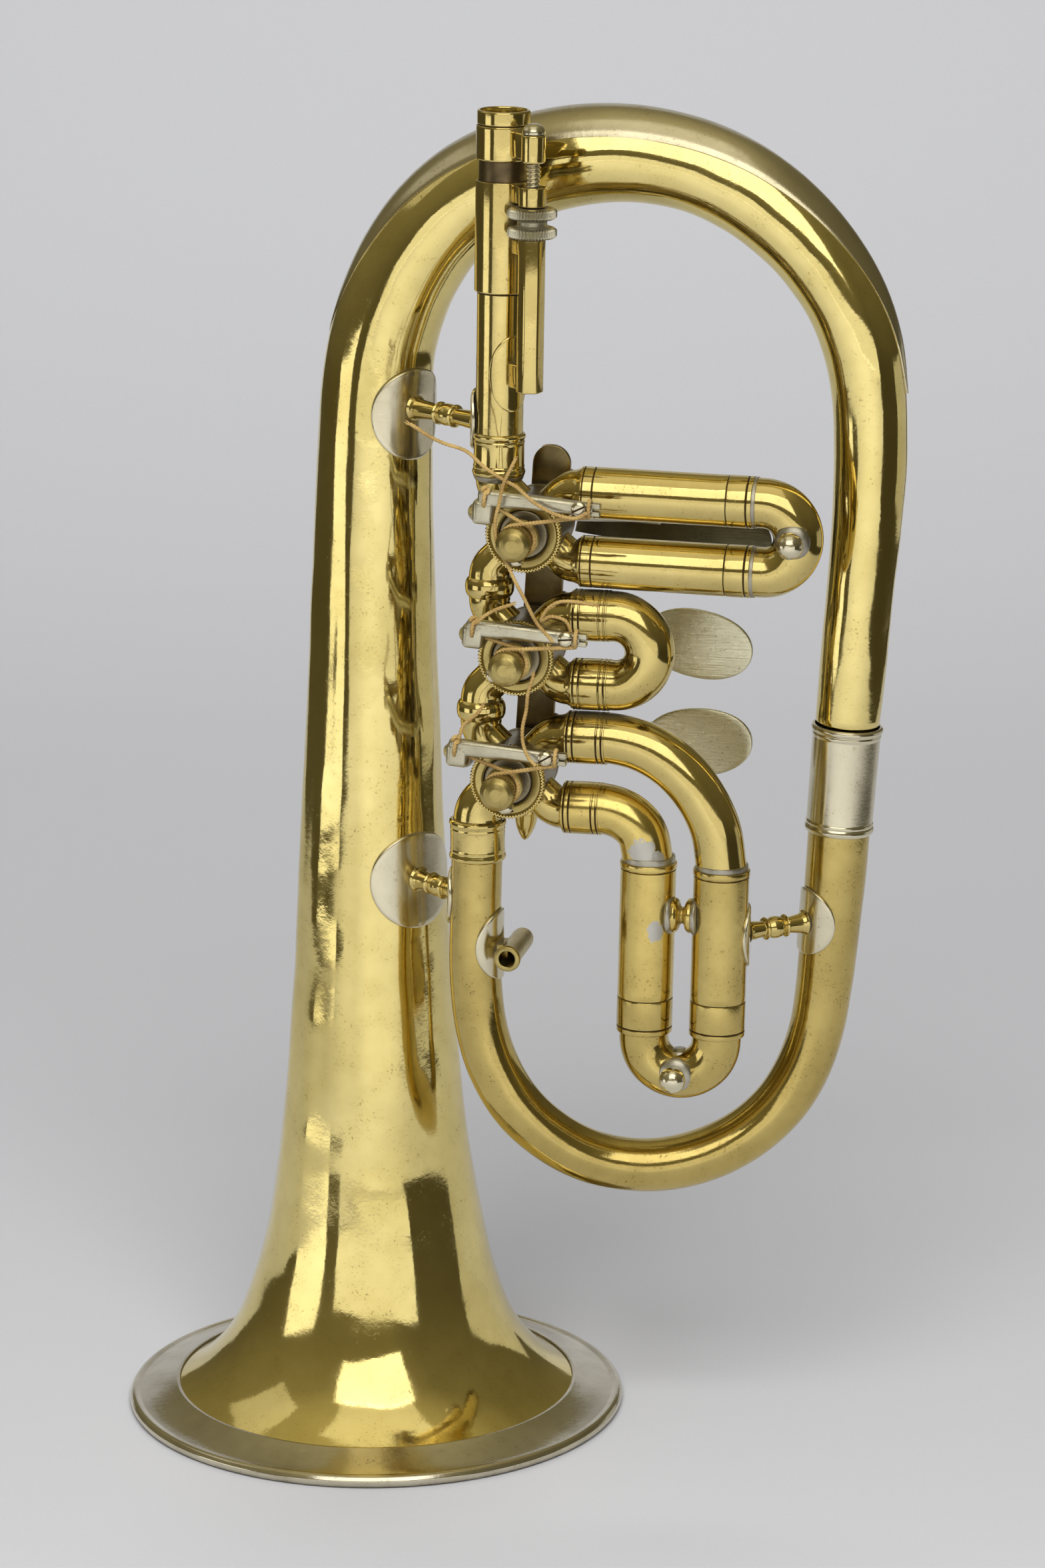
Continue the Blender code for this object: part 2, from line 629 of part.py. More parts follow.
def valve_rotor(number, centre):
    """The rotor, its spindle and the cord hub, with two windways cut in its sides."""
    cx, cz = centre
    spindle = turned(
        f"valve_{number}_rotor",
        [(0, 33.3), (2.4, 32.9), (4.3, 30.9), (4.3, 29.6), (HUB_RADIUS, 29.5), (HUB_RADIUS, 23.9),
         (4.6, 23.8), (4.6, 22.7), (2.2, 22.6), (2.2, 15.8), (7.2, 15.8), (7.2, 0.4), (1.75, 0.4),
         (1.75, -0.8), (0, -0.8)],
        DULL_BRASS, (cx, ROTOR_BACK, cz), 12, (0, -1, 0),
    )
    angle = math.radians(CLAMP_ANGLES[number - 1])
    head_start, head_end = [
        (cx + math.cos(angle) * reach, ROTOR_BACK - 28.4, cz + math.sin(angle) * reach)
        for reach in (2.0, 5.7)
    ]
    head = rod("clamp_head", 1.45, head_start, head_end, 8, NICKEL)
    rotor = fuse(f"valve_{number}_rotor", [realise(spindle), head], DULL_BRASS)
    rotor = carve(rotor, [
        rod(f"windway_{number}_{word}", 4.2, (cx + side, VALVE_Y, cz - 9),
            (cx + side, VALVE_Y, cz + 9), 10)
        for word, side in (("in", -5.7), ("out", 5.7))
    ])
    hang(f"valve_{number}_axis", (cx, VALVE_Y, cz), rotor)


for number, centre in enumerate(VALVE_CENTRES, 1):
    valve_casing(number, centre)
    valve_front(number, centre)
    valve_rotor(number, centre)

for number, (link_x, link_z) in enumerate(zip(LINK_X, LINK_Z), 1):
    top, foot = link_z + 2.3, link_z - 2.3
    turned(
        f"link_ferrule_{number}_{number + 1}",
        [(5.55, top), (5.95, top), (5.95, foot), (5.55, foot)],
        BRASS, (link_x, VALVE_Y, 0), 16, closed=True,
    )

# ---------------------------------------------------------------- valve loops and slides
KNOB = ((0, 6.6), (1.7, 6.2), (2.9, 4.9), (3.0, 3.2), (1.9, 1.4), (1.3, 0.8), (2.0, 0.0), (0, 0.0))
CROWN_STEPS = 6


def u_tube(name, place, leg, half, crown_start, crown_radius):
    """Two like legs joined by a half-circle crown.

    place(along, side, radius) gives a station; leg lists (along, radius) from the open end.
    """
    way = [place(along, half, radius) for along, radius in leg]
    for k in range(CROWN_STEPS + 1):
        angle = math.pi * k / CROWN_STEPS
        way.append(place(crown_start + half * math.sin(angle), half * math.cos(angle), crown_radius))
    way += [place(along, -half, radius) for along, radius in reversed(leg)]
    return tube(name, way)


def slide_with_knob(word, place, leg, half, crown_start, axis_along):
    """The moving part of a tuning slide with a knob on the front of its crown."""
    bow = u_tube(f"{word}_slide_bow", place, leg, half, crown_start, BOW_RADIUS)
    x, _, z, _ = place(crown_start + half, 0, 0)
    knob = turned(f"{word}_slide_knob", KNOB, NICKEL, (x, VALVE_Y - BOW_RADIUS - CLEAR, z), 10,
                  (0, -1, 0))
    hang(f"{word}_slide_axis", place(axis_along, 0, 0)[:3], bow, knob)


# First slide, running right and slightly down.
SLIDE1_START = Vector((60.7, VALVE_Y, 242.98))
SLIDE1_DIRECTION = Vector((0.99982, 0, -0.019))
SLIDE1_UP = Vector((0.019, 0, 0.99982))


def on_slide1(along, up, radius):
    return (*(SLIDE1_START + SLIDE1_DIRECTION * along + SLIDE1_UP * up), radius)


for sign, side, leg_start in ((1, "upper", 0.0), (-1, "lower", 0.1)):
    tube(
        f"first_slide_{side}_leg",
        [on_slide1(along, sign * LOOP1_HALF, LEG_RADIUS) for along in (leg_start, 35.7)],
        0.35,
    )
slide_with_knob(
    "first", on_slide1,
    [(7, 5.7), (35.85, 5.7), (36.1, LEG_RADIUS), (42.3, LEG_RADIUS), (42.5, BOW_RADIUS)],
    LOOP1_HALF, crown_start=44.7, axis_along=36,
)

# Second loop, fixed, running level to the right.
LOOP2_RADIUS = BOW_RADIUS + 0.1
u_tube(
    "second_valve_loop",
    lambda x, up, radius: (x, VALVE_Y, VALVE_CENTRES[1][1] + up, radius),
    [(58.8, LEG_RADIUS), (67.4, LEG_RADIUS), (67.7, LOOP2_RADIUS)],
    LOOP2_HALF, 68.6, LOOP2_RADIUS,
)

# Third loop, turning down into its slide.
SLIDE3_TOP = 141.0                           # Z that "down" is measured from
LEG3_MID, LEG3_LEAN = 86.32, 0.0204          # X midway between the legs there, lean per mm down
CROOK_RADIUS, CROOK_END_RADIUS = 6.35, 6.55
LEG3_INNER_RADIUS = 6.0                      # crook ends and slide legs inside the outer tubes
outer_z = VALVE_CENTRES[2][1] + LOOP3_RISE
inner_z = VALVE_CENTRES[2][1] - LOOP3_DROP


def on_slide3(down, side, radius):
    """A station down from SLIDE3_TOP, with side positive towards the narrow branch."""
    return (LEG3_MID - LEG3_LEAN * down + side, VALVE_Y, SLIDE3_TOP - down, radius)


# Stations of x, z, radius, from the valve to where the slide takes over.
OUTER_CROOK = (
    (57.3, outer_z, CROOK_END_RADIUS), (66.9, outer_z, CROOK_END_RADIUS),
    (67.2, outer_z, CROOK_RADIUS), (68.5, outer_z, CROOK_RADIUS), (76.0, 187.9, CROOK_RADIUS),
    (83.6, 183.6, CROOK_RADIUS), (90.0, 176.6, CROOK_RADIUS), (94.2, 168.0, CROOK_RADIUS),
)
INNER_CROOK = (
    (56.5, inner_z, CROOK_END_RADIUS), (65.4, inner_z, CROOK_END_RADIUS),
    (65.7, inner_z, CROOK_RADIUS), (66.6, inner_z, CROOK_RADIUS), (71.6, 169.9, CROOK_RADIUS),
    (75.6, 166.0, CROOK_RADIUS),
)
for side, sign, crook, leg_top in (
    ("outer", 1, OUTER_CROOK, -16.8),
    ("inner", -1, INNER_CROOK, -17.8),
):
    offset = sign * LEG3_HALF
    tube(
        f"third_loop_{side}_crook",
        [(x, VALVE_Y, z, radius) for x, z, radius in crook]
        + [on_slide3(leg_top - 0.5, offset, CROOK_RADIUS),
           on_slide3(leg_top - 0.3, offset, LEG3_INNER_RADIUS),
           on_slide3(-9.5, offset, LEG3_INNER_RADIUS)],
    )
    tube(
        f"third_slide_{side}_leg",
        [on_slide3(leg_top, offset, 7.1), on_slide3(leg_top + 1.6, offset, 7.1),
         on_slide3(leg_top + 1.9, offset, LEG3_RADIUS), on_slide3(19.6, offset, LEG3_RADIUS)],
        0.5,
    )
slide_with_knob(
    "third", on_slide3,
    [(-8, LEG3_INNER_RADIUS), (19.8, LEG3_INNER_RADIUS), (20.05, LEG3_RADIUS),
     (26.6, LEG3_RADIUS), (26.8, BOW_RADIUS)],
    LEG3_HALF, crown_start=28.0, axis_along=20,
)

SPACER_Z = 145.6
SPACER_HALF = LEG3_HALF - 4.9


def slide_spacer():
    """A waisted spool between the third slide's legs, its ends hollowed to clear them."""
    x, y, z, _ = on_slide3(SLIDE3_TOP - SPACER_Z, -SPACER_HALF, 0)
    spool = turned(
        "slide_spacer",
        [(0, 2 * SPACER_HALF), (4.1, 2 * SPACER_HALF), (4.1, SPACER_HALF + 1.7),
         (1.9, SPACER_HALF + 0.5), (1.9, SPACER_HALF - 0.5), (4.1, SPACER_HALF - 1.7),
         (4.1, 0), (0, 0)],
        BRASS, (x, y - 1.6, z), 12, (1, 0, 0),
    )
    carve(realise(spool), [
        rod(f"spacer_seat_{side}", LEG3_RADIUS + CLEAR, on_slide3(-17, offset, 0)[:3],
            on_slide3(12, offset, 0)[:3], 24)
        for side, offset in (("inner", -LEG3_HALF), ("outer", LEG3_HALF))
    ])


slide_spacer()

# ---------------------------------------------------------------- braces
BRACE_GAP = 0.4                  # between a tube and the flange on it


def on_bell(z):
    """The bell's axis point and radius at a height on its upright part."""
    line = BELL_LINE + BOW_LINE[:3]
    for lower, upper in zip(line, line[1:]):
        if lower[2] <= z <= upper[2]:
            t = (z - lower[2]) / (upper[2] - lower[2])
            x, y, _, radius = between(lower, upper, t)
            return Vector((x, y, z)), radius


def exit_pipe(z):
    """The bottom bow's upright end, below the valves."""
    return Vector((33.2 + 0.4 * max(z - 140.0, 0) / 16.1, VALVE_Y, z)), 6.5


def bow_pipe(z):
    """The bottom bow just below the bow ferrule."""
    return Vector((119.9 + (z - 133.1) * 0.081, -6.5, z)), 7.32 + (z - 133.1) * 0.019


def post(name, start, end):
    """A turned brace post with beads and a barrel between its two feet."""
    length = (end - start).length
    mid = length / 2
    shape = [
        (0.0, length), (2.75, length), (2.1, mid + 3.6), (2.85, mid + 3.0), (2.85, mid + 2.1),
        (2.75, mid + 0.7), (2.75, mid - 0.7), (2.85, mid - 2.1), (2.85, mid - 3.0),
        (2.1, mid - 3.6), (2.75, 0.0), (0.0, 0.0),
    ]
    turned(name, shape, BRASS, start, 10, end - start)


def brace(name, spine_a, spine_b, size_a, size_b, ends=("bell", "pipe"), post_at=(0.0, 0.0),
          gap=BRACE_GAP):
    """Two wrapped flanges and the post between them.

    Sizes are (half height, half width); post_at moves the post's ends along the tubes.
    """
    (foot, foot_radius), (head, head_radius) = spine_a(post_at[0]), spine_b(post_at[1])
    way = (head - foot).normalized()
    flange(f"{name}_{ends[0]}_flange", NICKEL, spine_a, way, *size_a, gap=gap)
    flange(f"{name}_{ends[1]}_flange", NICKEL, spine_b, -way, *size_b, gap=gap)
    standoff = gap + FLANGE_THICK + CLEAR
    post(f"{name}_post", foot + way * (foot_radius + standoff), head - way * (head_radius + standoff))


brace(
    "upper_brace", lambda h: on_bell(266.4 + h), lambda h: (Vector(lead(268.4 + h)), 6.3),
    (11.3, 11.5), (8.0, 7.6), post_at=(1.0, -1.0), gap=0.5,
)
brace(
    "lower_brace", lambda h: on_bell(146.3 + h), lambda h: exit_pipe(146.3 + h),
    (12.2, 13.0), (8.0, 8.0),
)
brace(
    "slide_brace", lambda h: (Vector(on_slide3(0.6 - h, LEG3_HALF, 0)[:3]), LEG3_RADIUS),
    lambda h: bow_pipe(140.6 + h), (8.2, 8.0), (8.4, 8.6), ends=("leg", "bow"),
)

# ---------------------------------------------------------------- lyre socket
SOCKET_RADIUS, SOCKET_Z = 2.9, 133.8
SOCKET_X = 33.2 + 6.5 + CLEAR + BRACE_GAP + SOCKET_RADIUS        # outwards from the exit pipe


def lyre_socket():
    """A tube lying front to back, on a plate wrapped to the exit pipe."""
    plate = flange("lyre_plate", NICKEL, lambda h: exit_pipe(135.2 + h), (1, -0.05, 0), 9.05, 8.4,
                   gap=BRACE_GAP)
    socket = turned(
        "lyre_socket",
        [(0, 20.0), (SOCKET_RADIUS, 20.0), (3.3, 19.5), (3.3, 18.6), (SOCKET_RADIUS, 18.1),
         (SOCKET_RADIUS, 0), (0, 0)],
        BRASS, (SOCKET_X, -16.4, SOCKET_Z), 16, (0, -1, 0),
    )
    socket = fuse("lyre_socket", [realise(socket), realise(plate)], BRASS)
    carve(socket, [
        rod("lyre_socket_bore", 2.0, (SOCKET_X, -37.5, SOCKET_Z), (SOCKET_X, -15.5, SOCKET_Z))
    ])


lyre_socket()

# ---------------------------------------------------------------- lever rail and hinge rod
(TOP_X, TOP_Z), (LOW_X, LOW_Z) = VALVE_CENTRES[0], VALVE_CENTRES[2]
ROW = Vector((TOP_X - LOW_X, 0, TOP_Z - LOW_Z)).normalized()     # up the row of valves
ACROSS = Vector((ROW.z, 0, -ROW.x))                              # square to it, to the right
AWAY = Vector((0, 1, 0))                                         # to the back
ROW_TURN = Matrix((ACROSS, AWAY, ROW)).transposed().to_4x4()
STAND_UP = Matrix.Rotation(math.radians(90), 4, "X")             # turns a flat plate's Z to -Y

RAIL_Y, RAIL_THICK, RAIL_HALF, RAIL_LENGTH = -16.5, 1.5, 4.75, 92.0
KNUCKLE_HEIGHTS = (257.4, 227.6, 196.4, 168.9)
HINGE_BORE = 1.62
HINGE_ROD_LENGTH = 91.5


def row_point(z, y, side=0.0):
    """A place on the line of the valves, moved to one side."""
    return (LOW_X + (z - LOW_Z) * ROW.x / ROW.z + side, y, z)


def lever_rail():
    """A round-ended rail behind the valves with four knuckles for the hinge rod."""
    arc = [math.pi * k / 10 for k in range(11)]
    straight = RAIL_LENGTH / 2 - RAIL_HALF
    ring = [(RAIL_HALF * math.cos(a), straight + RAIL_HALF * math.sin(a)) for a in arc]
    ring += [(-x, -y) for x, y in ring]
    world = Matrix.Translation(at_mm(*row_point(215.2, RAIL_Y, 1.5))) @ ROW_TURN @ STAND_UP
    rail = flat_plate("lever_rail", ring, RAIL_THICK, TARNISHED, world)
    size = (4.6, HINGE_Y - RAIL_Y + 2.2, 2.2)
    knuckles = [
        block(f"knuckle_{k}", size, row_point(z, (RAIL_Y + HINGE_Y) / 2 + 0.9), TARNISHED, ROW_TURN)
        for k, z in enumerate(KNUCKLE_HEIGHTS)
    ]
    rail = fuse("lever_rail", [rail, *knuckles], TARNISHED)
    carve(rail, [rod("hinge_bore", HINGE_BORE, row_point(262, HINGE_Y), row_point(164, HINGE_Y))])


lever_rail()
turned(
    "lever_hinge_rod",
    [(0, HINGE_ROD_LENGTH + 1.6), (1.4, HINGE_ROD_LENGTH + 1.5), (2.1, HINGE_ROD_LENGTH + 1.1),
     (2.1, HINGE_ROD_LENGTH + 0.3), (1.3, HINGE_ROD_LENGTH + 0.2), (1.3, -0.2), (2.9, -0.3),
     (3.0, -1.6), (2.6, -4.6), (1.7, -7.6), (0.8, -8.9), (0, -9.2)],
    BRASS, row_point(167.4, HINGE_Y), 12, ROW,
)

# ---------------------------------------------------------------- levers, springs and cords
# Each lever has its own frame: u across to the right, v to the back, w up the row, from the
# hinge at the valve's height. Pairs are (u, w), except that string_bar is (left u, right u, w);
# hinge_low and key_start are w.
LEVERS = (
    dict(hinge_low=-11.6, lug=(-8.6, 6.0), string_bar=(-10.4, 19.6, 9.7), elbow=(-13.6, 1.2),
         key=(40.8, -4.9), key_start=0.5),
    dict(hinge_low=-11.6, lug=(-9.3, 6.0), string_bar=(-11.4, 18.4, 8.2), elbow=(-13.0, 0.6),
         key=(38.0, -2.1), key_start=2.2),
    dict(hinge_low=-8.6, lug=(-11.4, 7.2), string_bar=(-13.9, 15.4, 9.2), elbow=(-13.0, 0.8),
         key=(39.8, 3.9), key_start=-0.5),
)
HINGE_HIGH = 3.6
BAR_V = BAR_Y - HINGE_Y
BAR_DEPTH, BAR_TALL = 2.8, 3.3
STEM_WIDE = 3.4
BAR_SCREW_RADIUS, BAR_SCREW_INSET = 1.75, 4.6

# The key's outline: a narrow straight-sided root that swells into an oval touchpiece.
KEY_LONG, KEY_HALF, KEY_THICK, KEY_V = 14.0, 8.75, 1.4, 16.5
KEY_ROOT_U, KEY_ROOT_HALF = 18.0, 2.4
KEY_SWEEP, KEY_STEPS = math.pi * 0.78, 16
# From hinge to key: u, v, part of the way from key_start to the key's w, radius.
TAIL_LINE = (
    (1.6, 0.8, 0.0, 1.7), (7.0, 4.2, 0.12, 1.9), (14.0, 11.5, 0.32, 1.9),
    (19.5, 15.6, 0.47, 1.7), (25.5, 16.6, 0.62, 1.2),
)

SPRING_LOW, SPRING_HIGH = 4.3, 12.4
SPRING_TURNS, SPRING_STEPS_PER_TURN = 4.5, 7
SPRING_RADIUS, WIRE_RADIUS, SPRING_END = 2.35, 0.42, 0.45
WRAP_RADIUS = HUB_RADIUS + CORD_RADIUS + 0.55
WRAP_STEPS = 12


def lever_frame(number):
    cx, cz = VALVE_CENTRES[number - 1]
    base = Vector((cx, HINGE_Y, cz))

    def place(u, v, w):
        return tuple(base + ACROSS * u + AWAY * v + ROW * w)

    return place


def key_plate(place, key, key_start):
    key_u, key_w = key
    slope = math.atan2(key_w - key_start, key_u - 2.0)
    root = KEY_ROOT_U - key_u
    outline = [(root, -KEY_ROOT_HALF)]
    for k in range(KEY_STEPS + 1):
        angle = -KEY_SWEEP + 2 * KEY_SWEEP * k / KEY_STEPS
        outline.append((KEY_LONG * math.cos(angle), KEY_HALF * math.sin(angle)))
    outline.append((root, KEY_ROOT_HALF))
    world = (
        Matrix.Translation(at_mm(*place(key_u, KEY_V, key_w)))
        @ ROW_TURN
        @ Matrix.Rotation(-slope, 4, "Y")
        @ STAND_UP
    )
    return flat_plate("key", outline, KEY_THICK, NICKEL, world)


def lever_body(number, place, spec):
    """Hinge tube, arm forward to the string bar, and tail back to the key, as one solid."""
    low = spec["hinge_low"]
    length = HINGE_HIGH - low
    hinge = turned(
        "hinge", [(HINGE_BORE, length), (2.55, length), (2.55, 0), (HINGE_BORE, 0)],
        BRASS, place(0, 0, low), 12, ROW, closed=True,
    )
    lug_u, lug_w = spec["lug"]
    elbow_u, elbow_w = spec["elbow"]
    # u, v, w, radius
    arm_line = (
        (-1.9, 0.2, elbow_w - 0.3, 1.6),
        (elbow_u + 2.5, 0.6, elbow_w, 1.8),
        (elbow_u, -1.8, elbow_w, 1.9),
        (elbow_u - 0.4, -16.0, elbow_w + 0.6, 1.9),
        (lug_u - 3.6, BAR_V + 6.2, lug_w - 1.2, 1.9),
        (lug_u - 0.6, BAR_V + 2.6, lug_w, 2.0),
    )
    arm = bar("arm", [(*place(u, v, w), radius) for u, v, w, radius in arm_line], NICKEL, 6)
    lug = block("lug", (5.3, 6.0, 4.8), place(lug_u, BAR_V + 1.6, lug_w), NICKEL, ROW_TURN, 0.7)
    left, right, bar_w = spec["string_bar"]
    strip = block("strip", (right - left, BAR_DEPTH, BAR_TALL),
                  place((left + right) / 2, BAR_V, bar_w), NICKEL, ROW_TURN, 0.6)
    stem = block("stem", (STEM_WIDE, 2.4, bar_w - lug_w),
                 place(lug_u, BAR_V + 0.6, (bar_w + lug_w) / 2), NICKEL, ROW_TURN)
    screw_u = right - BAR_SCREW_INSET
    screw_head = rod("bar_screw", BAR_SCREW_RADIUS, place(screw_u, BAR_V - 1.0, bar_w),
                     place(screw_u, BAR_V - 2.3, bar_w), 12, NICKEL)
    start = spec["key_start"]
    rise = spec["key"][1] - start
    tail = bar("tail", [(*place(u, v, start + rise * part), radius)
                        for u, v, part, radius in TAIL_LINE], NICKEL, 6)
    key = key_plate(place, spec["key"], start)
    pieces = [realise(hinge), arm, realise(lug), stem, realise(strip), screw_head, tail, key]
    lever = fuse(f"lever_{number}", pieces, NICKEL)
    return carve(lever, [
        rod(f"lever_bore_{number}", HINGE_BORE, place(0, 0, low - 1), place(0, 0, HINGE_HIGH + 1))
    ])


def return_spring(number, place):
    """Wire coiled round the hinge rod, one end lying out to the right."""
    steps = int(SPRING_TURNS * SPRING_STEPS_PER_TURN)
    rise = SPRING_HIGH - SPRING_LOW - 2 * SPRING_END
    way = []
    for k in range(steps + 1):
        angle = math.tau * SPRING_TURNS * (k / steps - 1) - math.pi / 2
        way.append(place(SPRING_RADIUS * math.cos(angle), SPRING_RADIUS * math.sin(angle),
                         SPRING_LOW + SPRING_END + rise * k / steps))
    way += [
        place(3.6, -SPRING_RADIUS, SPRING_HIGH - SPRING_END),
        place(6.7, -2.5, SPRING_HIGH - 0.7),
        place(8.2, -2.7, SPRING_HIGH - 2.0),
    ]
    bar(f"lever_{number}_spring", [(*at, WIRE_RADIUS) for at in way], STEEL, 4)


def action_cord(number, place, spec):
    """From beside the bar's stem, round the rotor hub and back to the screw at the bar's right."""
    _, right, bar_w = spec["string_bar"]
    below = bar_w - CLEAR - CORD_RADIUS
    stem_side = spec["lug"][0] + STEM_WIDE / 2
    way = [place(stem_side + CLEAR + CORD_RADIUS + 0.7, BAR_V, below - BAR_TALL / 2)]
    for k in range(WRAP_STEPS + 1):
        angle = math.radians(80 - 340 * k / WRAP_STEPS)
        way.append(place(WRAP_RADIUS * math.cos(angle), BAR_V + 1.0 - 2.0 * k / WRAP_STEPS,
                         WRAP_RADIUS * math.sin(angle)))
    way.append(place(right - BAR_SCREW_INSET, BAR_V - 0.9, below - BAR_SCREW_RADIUS))
    return bar(f"action_cord_{number}", [(*at, CORD_RADIUS) for at in way], TWINE, 6)


for number, spec in enumerate(LEVERS, 1):
    place = lever_frame(number)
    lever = lever_body(number, place, spec)
    return_spring(number, place)
    cord = action_cord(number, place, spec)
    hang(f"lever_{number}_axis", place(0, 0, 0), lever, cord)
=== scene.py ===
"""A small upright rotary-valve saxhorn, dressed round its CAD frame.

Sizes are in millimetres in the horn's drawing frame: the bell stands mouth down on the axis
X = 0, Y = 0, +Z is up, and the valves and their levers face -Y. to_metres() carries points into
the scene. Materials, backdrop, lights and camera are in metres.
"""

import math

import bmesh
import bpy
import numpy as np
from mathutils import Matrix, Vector, noise


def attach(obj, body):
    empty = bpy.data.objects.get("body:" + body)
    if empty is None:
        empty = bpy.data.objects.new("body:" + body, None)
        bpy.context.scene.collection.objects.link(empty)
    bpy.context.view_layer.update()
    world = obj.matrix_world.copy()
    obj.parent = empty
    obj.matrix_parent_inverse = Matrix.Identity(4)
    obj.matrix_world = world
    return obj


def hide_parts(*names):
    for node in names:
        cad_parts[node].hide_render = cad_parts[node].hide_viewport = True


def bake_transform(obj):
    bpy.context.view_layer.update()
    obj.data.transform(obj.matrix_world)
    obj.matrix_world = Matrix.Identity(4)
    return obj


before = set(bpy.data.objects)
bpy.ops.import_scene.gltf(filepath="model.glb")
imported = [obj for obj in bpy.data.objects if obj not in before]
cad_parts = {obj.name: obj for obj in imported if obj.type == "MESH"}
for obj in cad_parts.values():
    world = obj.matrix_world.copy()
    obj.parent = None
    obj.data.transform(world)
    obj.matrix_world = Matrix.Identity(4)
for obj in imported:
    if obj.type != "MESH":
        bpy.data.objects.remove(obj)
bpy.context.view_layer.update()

TAU = 2 * math.pi
FRONT, AWAY, UPRIGHT = (0, -1, 0), np.array((0, 1.0, 0)), (0, 0, 1)
AXIS_X = 36.24  # drawing-frame X of the scene's origin
DARK, THIRD = 1, 2  # material slots after the main one: dark seams and grooves, also painted shade in screw slots and slide gaps; and a contrasting metal


def to_metres(p):
    out = np.asarray(p, float) * 0.001
    out[..., 0] -= AXIS_X / 1000
    return out


def unit(v):
    v = np.asarray(v, float)
    return v / np.linalg.norm(v)


def cos_sin(degrees):
    return math.cos(math.radians(degrees)), math.sin(math.radians(degrees))


# ------------------------------------------------------------------ mesh building
class Shape:
    """Closed shells gathered into one mesh."""

    def __init__(self):
        self.verts, self.quads, self.tris, self.count = [], [], [], 0

    def put(self, verts, quads=None, tris=None, mat=0, quad_mats=None):
        """Add a shell whose faces count from its own first vertex."""
        verts = np.asarray(verts, float).reshape(-1, 3)
        for faces, home, size, marks in (
            (quads, self.quads, 4, quad_mats),
            (tris, self.tris, 3, None),
        ):
            if faces is None:
                continue
            faces = np.asarray(faces, int).reshape(-1, size) + self.count
            home.append((faces, np.full(len(faces), mat) if marks is None else marks))
        self.verts.append(verts)
        self.count += len(verts)

    def build(self, name, mats, replaces, body="horn_body", sharp=38.0, blend=None):
        """Make the object. blend is (first body, second body, start, end), in place of body: with
        it the object is baked in place on no body, and the bodies, start and end are not used.
        """
        verts = to_metres(np.concatenate(self.verts))
        mesh = bpy.data.meshes.new(name)
        loops, starts, marks, at = [], [], [], 0
        for group, size in ((self.quads, 4), (self.tris, 3)):
            for faces, face_mats in group:
                loops.append(faces.ravel())
                starts.append(at + size * np.arange(len(faces)))
                marks.append(face_mats)
                at += faces.size
        mesh.vertices.add(len(verts))
        mesh.vertices.foreach_set("co", verts.astype(np.float32).ravel())
        loops = np.concatenate(loops).astype(np.int32)
        mesh.loops.add(len(loops))
        mesh.loops.foreach_set("vertex_index", loops)
        starts = np.concatenate(starts).astype(np.int32)
        mesh.polygons.add(len(starts))
        mesh.polygons.foreach_set("loop_start", starts)
        mesh.polygons.foreach_set("material_index", np.concatenate(marks).astype(np.int32))
        mesh.update(calc_edges=True)
        mesh.validate()
        for mat in mats:
            mesh.materials.append(mat)
        mesh.shade_smooth()
        mesh.set_sharp_from_angle(angle=math.radians(sharp))
        obj = bpy.data.objects.new(name, mesh)
        bpy.context.scene.collection.objects.link(obj)
        if blend:
            first, second, start, end = blend
            tuple(to_metres(start))
            tuple(to_metres(end))
            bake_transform(obj)
        else:
            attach(obj, body)
        if replaces:
            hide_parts(replaces)


def lengths(rows):
    """Distance along the rows, from the first."""
    return np.concatenate([[0], np.cumsum(np.linalg.norm(np.diff(rows[:, :3], axis=0), axis=1))])


def even(rows, step):
    s = lengths(rows)
    u = np.linspace(0, s[-1], max(2, int(s[-1] / step) + 1))
    return np.stack([np.interp(u, s, rows[:, k]) for k in range(rows.shape[1])], 1)


def spline(stations, step):
    """Even points on a smooth curve through the stations (centripetal Catmull-Rom)."""
    per = 20
    pts = np.array(stations, float)
    if len(pts) == 2:
        n = max(2, int(np.linalg.norm(pts[1, :3] - pts[0, :3]) / step) + 1)
        t = np.linspace(0, 1, n)[:, None]
        return pts[0] * (1 - t) + pts[1] * t
    ext = np.vstack([2 * pts[0] - pts[1], pts, 2 * pts[-1] - pts[-2]])
    rows = []
    for i in range(1, len(ext) - 2):
        p0, p1, p2, p3 = ext[i - 1 : i + 3]
        t1, gap2, gap3 = (
            max(np.linalg.norm((b - a)[:3]) ** 0.5, 1e-4) for a, b in ((p0, p1), (p1, p2), (p2, p3))
        )
        t2, t3 = t1 + gap2, t1 + gap2 + gap3
        t = (t1 + (t2 - t1) * np.arange(per) / per)[:, None]
        a1 = p0 * (t1 - t) / t1 + p1 * t / t1
        a2 = p1 * (t2 - t) / (t2 - t1) + p2 * (t - t1) / (t2 - t1)
        a3 = p2 * (t3 - t) / (t3 - t2) + p3 * (t - t2) / (t3 - t2)
        b1 = a1 * (t2 - t) / t2 + a2 * t / t2
        b2 = a2 * (t3 - t) / (t3 - t1) + a3 * (t - t1) / (t3 - t1)
        rows.append(b1 * (t2 - t) / (t2 - t1) + b2 * (t - t1) / (t2 - t1))
    return even(np.vstack(rows + [pts[-1:]]), step)


def frames_of(points, ref):
    """Tangent and two normals at each point, carried along without twisting."""
    tangent = np.gradient(points, axis=0)
    tangent /= np.linalg.norm(tangent, axis=1)[:, None]
    side = np.zeros_like(points)
    n = np.asarray(ref, float)
    if abs(unit(n) @ tangent[0]) > 0.95:
        n = np.array([1.0, 0.0, 0.0])
    for i, t in enumerate(tangent):
        n = unit(n - t * (n @ t))
        side[i] = n
    return tangent, side, np.cross(tangent, side)


